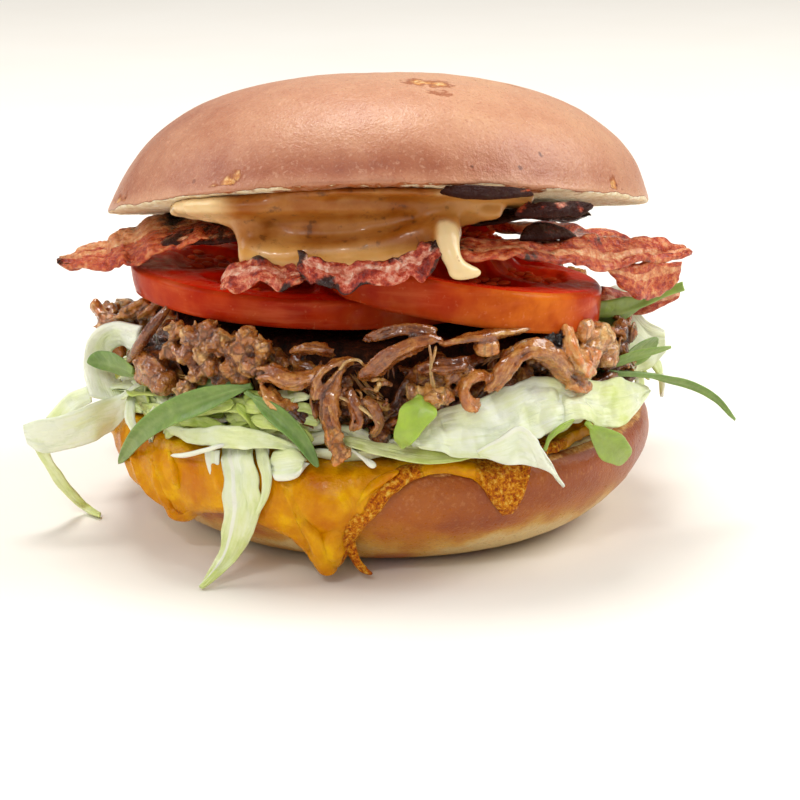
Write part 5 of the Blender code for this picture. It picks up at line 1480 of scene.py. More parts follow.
def build_bed():
    """Shredded lettuce between the cheese and the meat, all the way round."""
    rng = np.random.default_rng(77)
    bag = Bag()
    # a darker green-gold floor under the shreds so that no gap shows through; its darker tone is painted shade between
    # the shreds
    nt = 120
    th = np.linspace(0, TAU, nt, endpoint=False)
    rows = []
    for rr, zz in ((0.2, 26.6), (0.7, 26.8), (0.93, 26.6), (0.955, 26.0), (0.94, 25.0), (0.7, 24.9), (0.2, 24.9)):
        R = 49.0 * rr * (1 + 0.02 * np.sin(5 * th) + 0.015 * np.sin(11 * th))
        P = np.stack([R * np.cos(th), R * np.sin(th), np.full(nt, zz)], -1)
        P[:, 2] += 0.5 * fbm(P, 6, 2, 4) * (1 if zz > 25.5 else 0)
        rows.append(P)
    P = np.array(rows)
    quads, tris = ring_solid((len(P), nt))
    bag.add(np.vstack([P.reshape(-1, 3), [[0, 0, 26.6], [0, 0, 24.9]]]), quads, tris, rib=0.0, tint=0.75)
    for k in range(150):
        a = k / 150 * TAU + rng.normal(0, 0.04)
        deg = (math.degrees(a) + 180) % 360 - 180
        # fewer in front, where the big leaf and the long shreds lie
        ahead = -138 < deg < -4
        if ahead and rng.random() < 0.45:
            continue
        r0 = rng.uniform(41, 46)
        out = rng.uniform(50.5, 55.5) - (4.6 if ahead else 0.0)
        z0 = rng.uniform(26.4, 30.5)
        drop = rng.uniform(-0.5, 5.0) if rng.random() < 0.75 else rng.uniform(4, 9)
        drop = min(drop, 1.2) if ahead else drop
        sweep = rng.normal(0, 0.22)
        d = lambda r, ang, z: np.array([r * math.cos(ang), r * math.sin(ang), z])
        w = rng.uniform(1.4, 3.8)
        spine = [
            d(r0, a - sweep * 0.4, z0),
            d((r0 + out) / 2 + 1, a, z0 + rng.uniform(0.4, 1.8)),
            d(out, a + sweep * 0.6, z0 - drop * 0.35),
            d(out + rng.uniform(-0.8, 1.6), a + sweep, z0 - drop),
        ]
        S = np.array(spine)
        T = unit(np.gradient(S, axis=0))
        upv = unit(np.array([0.25 * math.cos(a), 0.25 * math.sin(a), 1.0]) + rng.normal(0, 0.25, 3))
        D = unit(np.cross(T, upv))
        half = D * (w / 2)
        half[-1] *= rng.uniform(0.25, 0.8)
        rib = (rng.choice([0.1, 0.5, 0.9]), 0.3, rng.uniform(0.2, 0.7)) if rng.random() < 0.35 else None
        leafy(bag, S - half, S + half, 100 + k, 17, 6, ruffle=0.45, thick=rng.uniform(0.4, 0.7), tint=rng.uniform(0.10, 0.60), rib=rib, wavelength=6, round_ends=(0.0, 0.15))
    # shreds that run along the edge
    for k in range(44):
        a = rng.uniform(0, TAU)
        deg = (math.degrees(a) + 180) % 360 - 180
        r = rng.uniform(49.0, 52.5) - (2.5 if -138 < deg < -4 else 0.0)
        z = rng.uniform(26.0, 30.0)
        span = rng.uniform(0.10, 0.34)
        angs = a + np.linspace(-span, span, 5)
        rr = r + rng.normal(0, 0.8, 5)
        zz = z + rng.normal(0, 0.9, 5) - 1.0
        S = np.stack([rr * np.cos(angs), rr * np.sin(angs), zz], -1)
        upv = np.stack([np.cos(angs) * 0.2, np.sin(angs) * 0.2, np.ones(5)], -1)
        w = rng.uniform(1.5, 3.6)
        leafy(bag, S - upv * w / 2, S + upv * w / 2, 300 + k, 20, 6, ruffle=0.35, thick=rng.uniform(0.4, 0.7), tint=rng.uniform(0.0, 0.5), wavelength=6, round_ends=(0.12, 0.12))
    # the tangle at the front left, above the broad shred
    for k in range(24):
        px, py = rng.uniform(176, 300), rng.uniform(396, 436)
        ln = rng.uniform(20, 44)
        ang = rng.normal(0.1, 0.5)
        R = rng.uniform(49.5, 52.6) + (py - 396) * 0.035
        x = np.linspace(-1, 1, 4)
        cx = px + x * ln * math.cos(ang)
        cy = py + x * ln * math.sin(ang) * 0.6 - 4 * (1 - x**2)
        h = rng.uniform(8, 17) / 2
        A = [wall(a_, b_ - h, R) for a_, b_ in zip(cx, cy)]
        B = [wall(a_, b_ + h, R + 1.2) for a_, b_ in zip(cx, cy)]
        leafy(bag, A, B, 500 + k, 26, 9, ruffle=0.6, thick=0.45, tint=rng.uniform(0.30, 0.72), wavelength=6, round_ends=(0.15, 0.15), ragged=0.25, crease=0.4)
    return bag.make("lettuce_shreds", LETTUCE, "lettuce", "lettuce_bed")


build_bed()

# rocket
rocket_leaf(
    "rocket_left", "rocket_leaf_left",
    W((252, 386, 52.8), (226, 392, 54.2), (197, 402, 55.8), (168, 414, 57.2), (141, 433, 57.6), (119, 463, 56.2)),
    [(0.35, -0.35, -0.85), (0.40, -0.3, -0.85), (0.45, -0.3, -0.85), (0.55, -0.25, -0.75), (0.7, -0.2, -0.6), (0.75, -0.2, -0.5)],
    5.2, 3, blade=(-0.05, 1.0), tip_round=0.8, tint=0.44, tint_to=0.56, stem=1.1, nu=90, nv=20, vein=0.7, cup=1.3,
)
rocket_leaf(
    "rocket_front", "rocket_leaf_front",
    W((246, 392, 53.8), (264, 404, 55.2), (284, 420, 56.2), (303, 440, 56.2), (318, 467, 55.4)),
    [(0.62, -0.2, 0.72), (0.68, -0.15, 0.66), (0.74, -0.1, 0.6), (0.82, -0.1, 0.5)],
    4.0, 4, blade=(0.0, 1.0), tip_round=0.8, tint=0.56, tint_to=0.42, stem=0.9, vein=0.6, nu=100, nv=22, cup=1.0,
)
rocket_leaf(
    "rocket_inner", "rocket_leaf_inner",
    W((194, 392, 49.4), (208, 384, 51.4), (224, 381, 51.8), (244, 386, 52.0)),
    [(0.2, -0.5, -0.8), (0.1, -0.5, -0.8), (0.0, -0.5, -0.8)],
    4.4, 5, blade=(0.0, 1.0), tip_round=0.5, tint=0.15, cup=0.4,
)
rocket_leaf(
    "rocket_loop", "rocket_leaf_loop",
    pts((134, 372, -24), (118, 366, -20), (102, 362, -16.6), (88, 362, -14.6)),
    [(-0.2, -0.35, 0.9), (-0.2, -0.35, 0.9)],
    5.8, 6, blade=(-0.2, 1.0), tip_round=0.55, tint=0.5, cup=0.4, stem=1.2,
)
centre = Bag()
leafy(
    centre,
    W((396, 446, 55.6), (394, 436, 56.6), (396, 424, 57.0), (400, 411, 56.4), (408, 400, 55.4), (414, 396, 54.6)),
    W((408, 449, 55.8), (414, 441, 57.4), (424, 430, 58.0), (436, 416, 57.6), (434, 405, 56.4), (424, 397, 55.0)),
    58, 70, 26, ruffle=0.9, thick=0.45, tint=0.84, tint_to=0.98, wavelength=6, ragged=0.30, round_ends=(0.12, 0.2),
)
centre.make("leaf_centre", ROCKET, "rocket", "rocket_leaf_centre")
rocket_leaf(
    "rocket_right_upper", "rocket_leaf_right_upper",
    pts((682, 287, -9), (660, 295, -10.6), (636, 306, -12.6), (612, 314, -15.6), (586, 314, -19)),
    [(0.1, -0.35, 0.93), (0.1, -0.35, 0.93)],
    6.6, 8, blade=(0.3, 1.15), tip_round=0.6, tint=0.72, cup=0.6, stem=2.4, vein=0.7,
)
rocket_leaf(
    "rocket_right_middle", "rocket_leaf_right_middle",
    pts((600, 366, -20), (622, 360, -17), (640, 350, -14), (658, 342, -11.6)),
    [(0.15, -0.4, 0.9), (0.15, -0.4, 0.9)],
    6.2, 9, blade=(0.0, 1.0), tip_round=0.35, tint=0.58, cup=0.8, stem=1.2,
)
rocket_leaf(
    "rocket_blade", "rocket_blade_right",
    pts((597, 368, -24), (620, 360, -22), (645, 352, -20), (671, 347, -18)),
    [(0.1, -0.5, 0.85), (0.1, -0.5, 0.85)],
    3.2, 10, blade=(-0.2, 1.0), tip_round=0.8, tint=0.62, cup=0.3, stem=0.7,
)
rocket_leaf(
    "rocket_long", "rocket_stem_right",
    pts((602, 372, -23), (630, 374, -20.5), (656, 376, -17), (690, 384, -13.6), (716, 398, -11.4), (735, 420, -9.6)),
    [(0.1, -0.5, 0.85), (0.15, -0.5, 0.85), (0.45, -0.4, 0.8)],
    2.4, 11, blade=(0.2, 1.0), tip_round=0.8, tint=0.5, cup=0.4, stem=1.2,
)
rocket_leaf(
    "rocket_right_low", "rocket_leaf_right_low",
    W((586, 422, 55.8), (594, 430, 57.4), (606, 441, 58.2), (618, 451, 58.2), (627, 459, 57.6)),
    [(0.55, -0.1, 0.82), (0.6, -0.1, 0.8)],
    6.0, 12, blade=(0.1, 1.0), tip_round=0.5, tint=0.80, cup=1.0, stem=1.0, vein=0.6, lobes=0.05,
)
rocket_leaf(
    "rocket_small_curl", None,
    W((545, 450, 56.0), (550, 438, 56.6), (560, 428, 57.0), (574, 420, 56.6)),
    [(0.5, -0.2, 0.8), (0.2, -0.2, 0.9)],
    2.2, 13, blade=(-0.1, 1.0), tip_round=0.7, tint=0.85, cup=0.5, stem=0.6, vein=0.5,
)
rocket_leaf(
    "rocket_behind_chunk", None,
    pts((548, 372, -30), (572, 384, -32), (596, 388, -28)),
    [(0.1, -0.6, 0.75), (0.1, -0.6, 0.75)],
    4.0, 14, blade=(-0.1, 1.1), tip_round=0.6, tint=0.2, cup=0.4, stem=0.8,
)
rocket_leaf(
    "rocket_back", "rocket_leaf_back",
    [(18.0, 50.6, 33.0), (22.0, 57.0, 30.0), (27.0, 60.6, 24.0), (30.0, 61.4, 17.0)],
    [(0.8, -0.5, 0.3), (0.8, -0.5, 0.3)],
    6.4, 15, blade=(0.1, 1.0), lobes=0.12, tip_round=0.5, tint=0.4, cup=0.7,
)
rocket_leaf(
    "rocket_back_left", "rocket_leaf_back_left",
    [(-40.0, 32.0, 34.0), (-47.5, 36.0, 33.0), (-53.5, 38.5, 28.0), (-57.0, 39.5, 21.5)],
    [(0.5, 0.8, 0.3), (0.5, 0.8, 0.3)],
    6.0, 16, blade=(0.1, 1.0), lobes=0.12, tip_round=0.5, tint=0.45, cup=0.7,
)


# ---------------------------------------------------------------------------
# pulled chicken
# ---------------------------------------------------------------------------
def meat_radius(deg):
    a = np.radians(deg)
    r = 47.0 + 2.4 * (0.5 * np.sin(3 * a + 3.3) + 0.35 * np.sin(5 * a + 4.4) + 0.3 * np.sin(9 * a + 4.1))
    r = r + 9.5 * bell(deg, 177, 7) + 2.6 * bell(deg, -90, 14) + 3.0 * bell(deg, -18, 10) + 2.5 * bell(deg, -150, 12)
    return r + 4.0 * bell(deg, 60, 10) - 4.0 * bell(deg, 6, 20)


def meat_top(x, y):
    z = np.minimum(44.6 - 0.02 * x, crown_under(x, y) - 4.0)
    z = np.minimum(z, slice_l_base(x, y) - 0.4 + 8.0 * sm((np.hypot(x - SLICE_L["at"][0], y - SLICE_L["at"][1]) - SLICE_L["r"]) / 3.0))
    near = SLICE_R["r"] + 1.0 - np.hypot(x - SLICE_R["at"][0], y - SLICE_R["at"][1])
    return np.where(near > 0, np.minimum(z, slice_r_base(x, y) - 0.4), z)


def build_meat():
    rng = np.random.default_rng(4242)
    core, near, rear, strands = Bag(), Bag(), Bag(), Bag()
    # core: a dark uneven heap a few millimetres inside the outline, coloured near black as painted shade
    nt = 130
    th = np.linspace(0, TAU, nt, endpoint=False)
    deg = (np.degrees(th) + 180) % 360 - 180
    R = np.minimum(meat_radius(deg), 50.5) - 4.4
    rows = []
    for q in np.linspace(0.03, 0.96, 9):
        x, y = R * q * np.cos(th), R * q * np.sin(th)
        rows.append(np.stack([x, y, meat_top(x, y) - 1.2], -1))
    for v in np.linspace(0.94, 0.06, 12):
        x, y = R * np.cos(th), R * np.sin(th)
        top, low = meat_top(x, y) - 1.2, 28.6
        b = (1 - abs(2 * v - 1) ** 4) ** 0.5
        rows.append(np.stack([R * (0.96 + 0.04 * b) * np.cos(th), R * (0.96 + 0.04 * b) * np.sin(th), low + (top - low) * v], -1))
    for q in np.linspace(0.96, 0.03, 5):
        rows.append(np.stack([R * q * np.cos(th), R * q * np.sin(th), np.full(nt, 28.4)], -1))
    P = np.array(rows)
    bump = 1.1 * fbm(P, 4.5, 3, 91)
    P = P + unit(P * [1, 1, 0] + [0, 0, 1e-6]) * bump[..., None] * sm(np.hypot(P[..., 0], P[..., 1]) / 20)[..., None]
    quads, tris = ring_solid((len(P), nt))
    V = np.vstack([P.reshape(-1, 3), [[0, 0, float(meat_top(0.0, 0.0)) - 1.2], [0, 0, 28.4]]])
    core.add(V, quads, tris, tint=0.12, deep=0.80, fu=0.0, fv=0.0, orange=0.0)
    heart = []  # points on the pieces: place, frame, length along, and looks

    def into(p):
        return near if p[1] < 6.0 else rear

    def bundle(path, radius, count, fibre=(0.34, 0.56), flat=0.75, fray=0.14, bag=None, solid=0.5, dt=0.0, orange=0.0, deep=0.0):
        """A torn piece of meat: fibres packed along a path about a thinner heart."""
        path = np.asarray(path, float)
        t = np.linspace(0, 1, 12)
        C = spline(path, t)
        T, N, B = frames_along(C)
        along = np.concatenate([[0], np.cumsum(np.linalg.norm(np.diff(C, axis=0), axis=1))]) + 40.0 * len(heart)
        for k in range(12):
            heart.append((C[k], T[k], N[k], B[k], along[k], dt, orange, deep, 0.0))
        r_t = np.interp(t, np.linspace(0, 1, np.size(radius)), np.atleast_1d(np.asarray(radius, float)))
        bag = bag or into(C.mean(0))
        if solid:
            V, q, tr, _, _ = tube(path, list(r_t * solid), 14, 8, flat=flat, taper=0.3, rng=rng, lump=0.3)
            bag.add(V, q, tr)
        twist = rng.normal(0, 0.9)
        for _ in range(count):
            a, q = rng.uniform(0, TAU), math.sqrt(rng.uniform(0.4, 1.15))
            lo, hi = max(0.0, rng.uniform(-fray, fray * 1.5)), min(1.0, 1 - rng.uniform(-fray, fray * 1.5))
            s_ = np.linspace(lo, hi, 7)
            n_ = np.stack([np.interp(s_, t, N[:, k]) for k in range(3)], -1)
            b_ = np.stack([np.interp(s_, t, B[:, k]) for k in range(3)], -1)
            rr = np.interp(s_, t, r_t) * q * (1 + 0.5 * np.abs(2 * s_ - 1) ** 4 * rng.uniform(-0.3, 1.0))
            ang = a + twist * s_ + rng.normal(0, 0.25) * np.sin(s_ * 6 + a)
            pos = spline(path, s_) + n_ * (rr * np.cos(ang))[:, None] + b_ * (rr * np.sin(ang) * flat)[:, None] + rng.normal(0, 0.10, (7, 3))
            V, q4, tr, _, _ = tube(pos, rng.uniform(*fibre), 11, 6, flat=0.85, taper=0.3, rng=rng, lump=0.25)
            bag.add(V, q4, tr)

    def nugget(p, size, seed, dt=0.0, orange=0.0, deep=0.0, bag=None, count=11):
        """A ragged crumb: short torn flakes that lie every way."""
        bag = bag or into(p)
        F0 = basis(unit(rng.normal(0, 1, 3) * [1, 1, 0.5]), rng)
        V, q, t, _, _ = blob(p, (size * 1.15, size * 0.85, size * 0.75), F0, 18, 12, 0.35, size * 0.9, 0.12, seed)
        bag.add(V, q, t)
        for k in range(count):
            d = rng.normal(0, 1, 3)
            d = d / max(np.linalg.norm(d), 1e-6)
            way = unit(np.cross(d, rng.normal(0, 1, 3)) + 0.35 * rng.normal(0, 1, 3))
            d = d * rng.uniform(0.6, 0.98) * size * np.array([1, 1, 0.8])
            bend = rng.normal(0, 0.30, 3) * size
            ln = rng.uniform(1.2, 2.6) * size
            s_ = np.linspace(-0.5, 0.5, 4)
            pos = p + d + way * (s_ * ln)[:, None] + bend * (0.25 - s_[:, None] ** 2) * 2
            V, q, t, _, _ = tube(pos, [rng.uniform(0.10, 0.25) * size, rng.uniform(0.18, 0.34) * size, rng.uniform(0.08, 0.25) * size], 9, 7, flat=rng.uniform(0.5, 0.9), taper=0.5, rng=rng, lump=0.4, ridges=0.1)
            bag.add(V, q, t)
            F_ = basis(way, rng)
            heart.append((p + d, F_[0], F_[1], F_[2], 40.0 * len(heart), dt + rng.normal(0, 0.10), orange * rng.uniform(0.3, 1.2), deep, 0.3))

    def site(inset):
        d = rng.uniform(-180, 180)
        a = math.radians(d)
        r = float(meat_radius(d)) - rng.uniform(*inset)
        x, y = r * math.cos(a), r * math.sin(a)
        shade = float(bell(d, -92, 62))
        top = float(meat_top(x, y)) - 0.5 - 2.0 * shade - 6.0 * float(bell(d, 177, 16))
        low = 29.2 - 1.2 * float(bell(d, -92, 12)) + 1.4 * float(bell(d, -50, 22))
        return a, r, np.array([x, y, rng.uniform(low + 0.6, top)]), low, top, shade

    # the heap: torn bundles, mostly lying round it, and crumbly lumps
    for k in range(215):
        a, r, p, low, top, shade = site((0.3, 3.2))
        r -= 1.4 * shade
        p[0], p[1] = r * math.cos(a), r * math.sin(a)
        tang = np.array([-math.sin(a), math.cos(a), 0])
        outv = np.array([math.cos(a), math.sin(a), 0])
        L = rng.uniform(4, 12)
        n = 5
        s_ = np.linspace(-0.5, 0.5, n) * L
        slope = rng.normal(0, 0.7)
        pos = p + tang * s_[:, None] + np.array([0, 0, 1.0]) * (s_ * slope * 0.8 + rng.normal(0, 0.07) * s_**2)[:, None] + outv * (rng.normal(0, 0.04) * s_**2 - 0.011 * s_**2)[:, None]
        pos = pos + rng.normal(0, 0.45, pos.shape)
        pos[:, 2] = np.clip(pos[:, 2], low - 0.4, top)
        rad = rng.uniform(0.8, 2.2)
        bundle(pos, [rad * 0.6, rad, rad * rng.uniform(0.7, 1.1), rad * 0.6], int(4 + rad * 5), dt=float(rng.normal(0, 0.17)), orange=float(max(0.0, rng.normal(0, 0.30))), flat=rng.uniform(0.45, 0.9))
    for k in range(110):
        a, r, p, low, top, shade = site((0.2, 2.8))
        nugget(p, rng.uniform(1.0, 2.1), 1000 + 20 * k, dt=float(rng.normal(0.05, 0.14)), orange=float(max(0.0, rng.normal(0.05, 0.25))), count=8)

    # ---- pieces that can be picked out one by one
    def lump_at(px, py, R_, radii, seed, rough=0.2, axis=None, size=3.0, dt=0.0, orange=0.0, deep=0.0):
        p = wall(px, py, R_)
        out_dir = unit(p * [1, 1, 0])
        ax = np.cross([0, 0, 1.0], out_dir) if axis is None else np.asarray(axis, float)
        V, q, t, _, _ = blob(p, radii, basis(ax, rng, out_dir), 26, 18, rough, size, 0.05, seed)
        near.add(V, q, t)
        B3 = basis(ax, rng, out_dir)
        for k in (-0.6, 0.0, 0.6):
            heart.append((p + B3[0] * radii[0] * k, B3[0], B3[1], B3[2], 40.0 * len(heart) + radii[0] * k, dt, orange, deep, 0.2))

    def piece(path, radius, count, **kw):
        bundle(W(*path), radius, count, bag=near, **kw)

    def strand(path, radius, tint_, n=24, ring=8, flat=0.8, lump=0.1, **kw):
        V, q, t, fu, fv = tube(W(*path), radius, n, ring, flat=flat, taper=0.4, rng=rng, lump=lump, **kw)
        strands.add(V, q, t, tint=tint_, deep=0.0, fu=fu, fv=fv, orange=0.0)

    # left: loose bits, the dark stick, the smooth block, crumbly lumps with holes between
    piece([(94, 299, -6), (97, 309, -6), (107, 318, -8), (120, 320, -11)], [0.7, 1.2, 1.5, 1.0], 12, dt=0.24, orange=0.5)
    piece([(110, 324, -9), (123, 319, -12), (136, 310, -14), (150, 301, -16)], [0.9, 1.5, 1.4, 0.9], 12, dt=0.20, orange=0.4)
    piece([(99, 325, -7), (112, 329, -9.5), (127, 326, -13)], [0.8, 1.1, 0.8], 8, dt=0.14)
    piece([(138, 319, -15), (150, 311, -17), (160, 301, -18)], [0.9, 1.3, 0.9], 8, dt=0.1, orange=0.3)
    nugget(at_y(104, 322, -8), 1.5, 3000, dt=0.2, orange=0.5)
    nugget(at_y(130, 314, -13), 1.6, 3020, dt=0.15, orange=0.5)
    strand([(170, 305, 49.6), (153, 326, 52.4), (139, 346, 53.6), (126, 369, 53.8)], [0.9, 1.35, 1.35, 0.8], 0.36, n=40, ring=20, flat=0.8, lump=0.05)
    lump_at(153, 368, 51.2, (5.0, 3.8, 3.0), 2100, 0.10, size=7, dt=0.10, orange=0.3)
    lump_at(163, 382, 51.4, (2.8, 2.4, 2.2), 2101, 0.2, dt=0.08, orange=0.2)
    lump_at(139, 361, 51.2, (2.6, 2.6, 2.2), 2103, 0.18, dt=0.12, orange=0.2)
    nugget(wall(186, 389, 52.2), 1.9, 3040, dt=0.35, orange=0.35, count=16)
    for k, (px, py, R_, size) in enumerate(
        ((178, 331, 50.4, 2.0), (194, 338, 51.2, 2.3), (210, 330, 50.8, 2.1), (223, 343, 51.6, 2.4), (205, 352, 51.8, 2.4), (238, 350, 51.6, 2.3), (189, 354, 51.6, 2.1),
         (213, 366, 52.0, 2.2), (231, 370, 52.0, 2.0), (252, 366, 52.0, 2.2), (173, 351, 51.0, 1.9), (247, 336, 51.0, 2.0), (264, 348, 51.4, 1.9), (199, 374, 51.8, 1.9), (222, 384, 51.4, 1.7), (243, 382, 51.6, 1.6))
    ):
        nugget(wall(px, py, R_), size, 3100 + 20 * k, dt=0.16, orange=0.25, count=13)
    # middle: rolled piece, the hanging cluster and its curls
    piece([(261, 373, 52.2), (276, 374, 53.6), (292, 381, 53.8), (310, 377, 52.8), (325, 365, 51.6)], [1.8, 2.0, 1.8, 1.5, 1.0], 16, solid=0.4, fibre=(0.36, 0.66), dt=0.12, orange=0.25)
    piece([(262, 387, 53.0), (272, 399, 53.8), (280, 405, 54.0), (291, 402, 53.4)], [1.4, 1.9, 1.7, 0.9], 14, dt=0.22, orange=0.35)
    piece([(284, 402, 52.2), (300, 414, 52.4), (317, 424, 52.0)], [1.3, 1.6, 1.2], 12, dt=-0.28)
    piece([(290, 352, 50.6), (312, 347, 51.2), (336, 353, 51.0)], [0.9, 1.3, 1.0], 9, dt=-0.05)
    piece([(354, 360, 51.6), (338, 367, 53.6), (325, 382, 54.4), (318, 402, 54.6), (321, 424, 54.6)], [1.0, 1.9, 2.2, 1.9, 1.0], 11, solid=0, fibre=(0.34, 0.58), fray=0.2, dt=0.02)
    piece([(342, 371, 53.4), (334, 392, 54.6), (331, 412, 55.2), (334, 432, 55.4), (341, 450, 55.2)], [0.9, 1.5, 1.7, 1.7, 1.0], 11, solid=0, fibre=(0.32, 0.55), fray=0.2, dt=0.05, orange=0.15)
    piece([(330, 424, 55.2), (332, 440, 55.8), (339, 454, 55.8), (334, 464, 55.4)], [1.1, 1.8, 1.6, 0.7], 14, dt=0.26, orange=0.7)
    nugget(wall(330, 438, 56.0), 1.2, 3600, dt=0.2, orange=0.8)
    nugget(wall(344, 452, 55.8), 1.3, 3620, dt=0.2, orange=0.7)
    piece([(346, 384, 53.8), (353, 400, 54.4), (357, 418, 54.2), (351, 433, 53.8)], [0.8, 1.3, 1.4, 0.8], 8, solid=0, fibre=(0.3, 0.5), dt=-0.05)
    piece([(362, 398, 53.4), (374, 408, 54.0), (378, 424, 53.8), (368, 436, 53.4)], [0.8, 1.4, 1.5, 0.9], 8, solid=0, fibre=(0.3, 0.5), dt=-0.08)
    for k in range(10):
        cx, cy, rr = rng.uniform(340, 390), rng.uniform(378, 424), rng.uniform(5, 12)
        a0 = rng.uniform(0, TAU)
        arc = a0 + np.linspace(0, rng.uniform(1.6, 3.6), 7)
        path = [(cx + rr * math.cos(q), cy + 0.75 * rr * math.sin(q), 54.2 + rng.uniform(-0.8, 0.8)) for q in arc]
        strand(path, float(rng.uniform(0.28, 0.52)), float(rng.uniform(0.45, 0.85)))
    strand([(333, 394, 55.0), (348, 401, 55.4), (364, 410, 55.4), (380, 424, 55.0)], [0.32, 0.42, 0.45, 0.3], 1.0)
    strand([(338, 372, 54.6), (346, 362, 55.0), (358, 360, 54.8), (366, 368, 54.4)], [0.3, 0.38, 0.34, 0.25], 0.85)
    # right of the middle: the flat glossy flake, the red-brown log, curls and nuggets
    piece([(362, 380, 53.0), (376, 368, 54.4), (394, 354, 54.8), (416, 344, 54.0), (442, 338, 52.6)], [1.4, 2.4, 2.4, 1.9, 1.0], 9, solid=0.95, fibre=(0.3, 0.4), flat=0.55, dt=-0.02, orange=0.15)
    piece([(360, 341, 51.4), (384, 333, 52.4), (410, 329, 52.6), (438, 331, 52.0)], [0.7, 1.1, 1.2, 0.8], 7, solid=0.8, dt=-0.05)
    piece([(418, 373, 53.0), (434, 369, 54.0), (452, 366, 53.8), (472, 361, 52.8)], [1.5, 1.9, 1.8, 1.2], 8, solid=0.9, dt=-0.22, orange=0.1)
    strand([(429, 344, 54.4), (431, 358, 55.4), (431, 372, 55.6), (434, 388, 54.6)], [0.30, 0.34, 0.45, 0.7], 0.85)
    strand([(436, 346, 54.0), (434, 356, 55.0), (432, 364, 55.4)], [0.3, 0.3, 0.2], 0.8)
    piece([(440, 345, 53.2), (470, 338, 53.4), (500, 334, 52.6), (536, 328, 51.6)], [0.7, 1.1, 1.1, 0.8], 9, solid=0.8, dt=0.05)
    lump_at(486, 347, 53.2, (2.4, 1.8, 1.6), 2201, 0.12, size=4, dt=0.22, orange=0.35)
    nugget(wall(428, 398, 54.0), 2.3, 3700, dt=0.28, orange=0.3, count=16)
    nugget(wall(444, 396, 53.6), 1.9, 3740, dt=0.24, orange=0.35, count=12)
    nugget(wall(415, 394, 53.4), 1.6, 3760, dt=0.2, count=10)
    piece([(489, 377, 52.4), (476, 375, 53.6), (465, 383, 54.2), (463, 394, 54.2), (471, 404, 54.0), (482, 404, 53.6)], [0.9, 1.3, 1.5, 1.4, 1.6, 1.1], 10, solid=0.6, fray=0.2, dt=0.12, orange=0.6)
    piece([(488, 395, 52.8), (500, 376, 53.6), (516, 355, 53.4), (536, 349, 53.0), (556, 360, 52.8), (572, 378, 52.6), (585, 387, 52.2)], [1.2, 1.8, 2.1, 2.2, 2.2, 1.9, 1.2], 22, dt=0.14, orange=0.2)
    piece([(500, 352, 52.2), (512, 360, 52.6), (507, 375, 53.0)], [0.9, 1.3, 1.0], 8, dt=0.05)
    piece([(446, 384, 53.0), (452, 376, 53.6), (462, 370, 53.4)], [0.7, 0.9, 0.7], 6, dt=0.1)
    nugget(wall(549, 338, 51.2), 1.4, 3800, deep=1.0, dt=-0.3)
    piece([(565, 324, 51.4), (567, 342, 52.6), (573, 358, 53.0), (586, 374, 52.6)], [1.4, 2.2, 2.7, 1.8], 16, dt=0.50, orange=1.0)
    lump_at(585, 362, 51.8, (3.2, 3.0, 2.4), 2205, 0.3, size=2.6, dt=0.40, orange=1.0)
    piece([(592, 385, 52.0), (579, 389, 52.6), (565, 384, 52.4)], [0.9, 1.3, 0.9], 8, dt=0.2, orange=0.7)
    lump_at(594, 340, 50.0, (3.8, 3.2, 2.8), 2207, 0.28, size=2.4, dt=0.40, orange=0.3)
    lump_at(605, 353, 49.0, (2.8, 2.8, 2.4), 2208, 0.28, size=2.4, dt=0.36, orange=0.3)
    lump_at(583, 330, 50.6, (2.2, 2.0, 1.8), 2209, 0.30, size=2, dt=0.40, orange=0.5)

    # fuse them, then shade the hollows and lay the fibres along each piece
    tree = KDTree(len(heart))
    for k, h_ in enumerate(heart):
        tree.insert(h_[0], k)
    tree.balance()
    HC, HT, HN, HB = (np.array([h_[k] for h_ in heart]) for k in range(4))
    HL, HDT, HO, HD, HG = (np.array([h_[k] for h_ in heart]) for k in range(4, 9))
    skin = Bag()
    for part, voxel in ((near, 0.43), (rear, 0.84)):
        V, quads, tris, N = melt(part, voxel)
        S = smoothed(V, quads, 14)
        hollow = np.einsum("ij,ij->i", S - V, N)
        at = np.array([tree.find(v)[1] for v in V])
        off = V - HC[at]
        fu = np.mod(HL[at], 1000.0) + np.einsum("ij,ij->i", off, HT[at])
        fv, fw = np.einsum("ij,ij->i", off, HN[at]), np.einsum("ij,ij->i", off, HB[at])
        r = np.hypot(V[:, 0], V[:, 1])
        d = np.degrees(np.arctan2(V[:, 1], V[:, 0]))
        # painted highlight and shade: tint is raised on ridges and lowered in hollows, and the dark mix is near black
        # in hollows and deeper into the heap; only the dark glazed nugget is dark of its own; orange fades in hollows
        into_heap = np.clip(meat_radius(d) - r - 1.6, 0, 6)
        grainy = HG[at]
        tint = 0.37 + HDT[at] - 0.36 * np.clip(hollow, -0.7, 0.7) + 0.12 * fbm(V, 7, 2, 92)
        deep = np.clip(HD[at] + 0.02 + 1.1 * np.clip(hollow, 0, 1) + 0.14 * into_heap, 0, 0.97)
        orange = HO[at] * np.clip(1 - 1.5 * np.clip(hollow, 0, 1), 0, 1)
        ridges = noise(np.stack([fu * 0.20, fv, fw], -1), 0.95, 97) * (1 - 0.7 * grainy)
        V = V + N * (0.30 * ridges + 0.12 * fbm(V, 1.3, 2, 93) + (0.10 + 0.16 * grainy) * noise(V, 0.9, 95))[:, None]
        skin.add(V, quads, tris, tint=np.clip(tint, 0.02, 1.1), deep=deep, fu=fu, fv=fv, fw=fw, orange=orange, grainy=grainy)
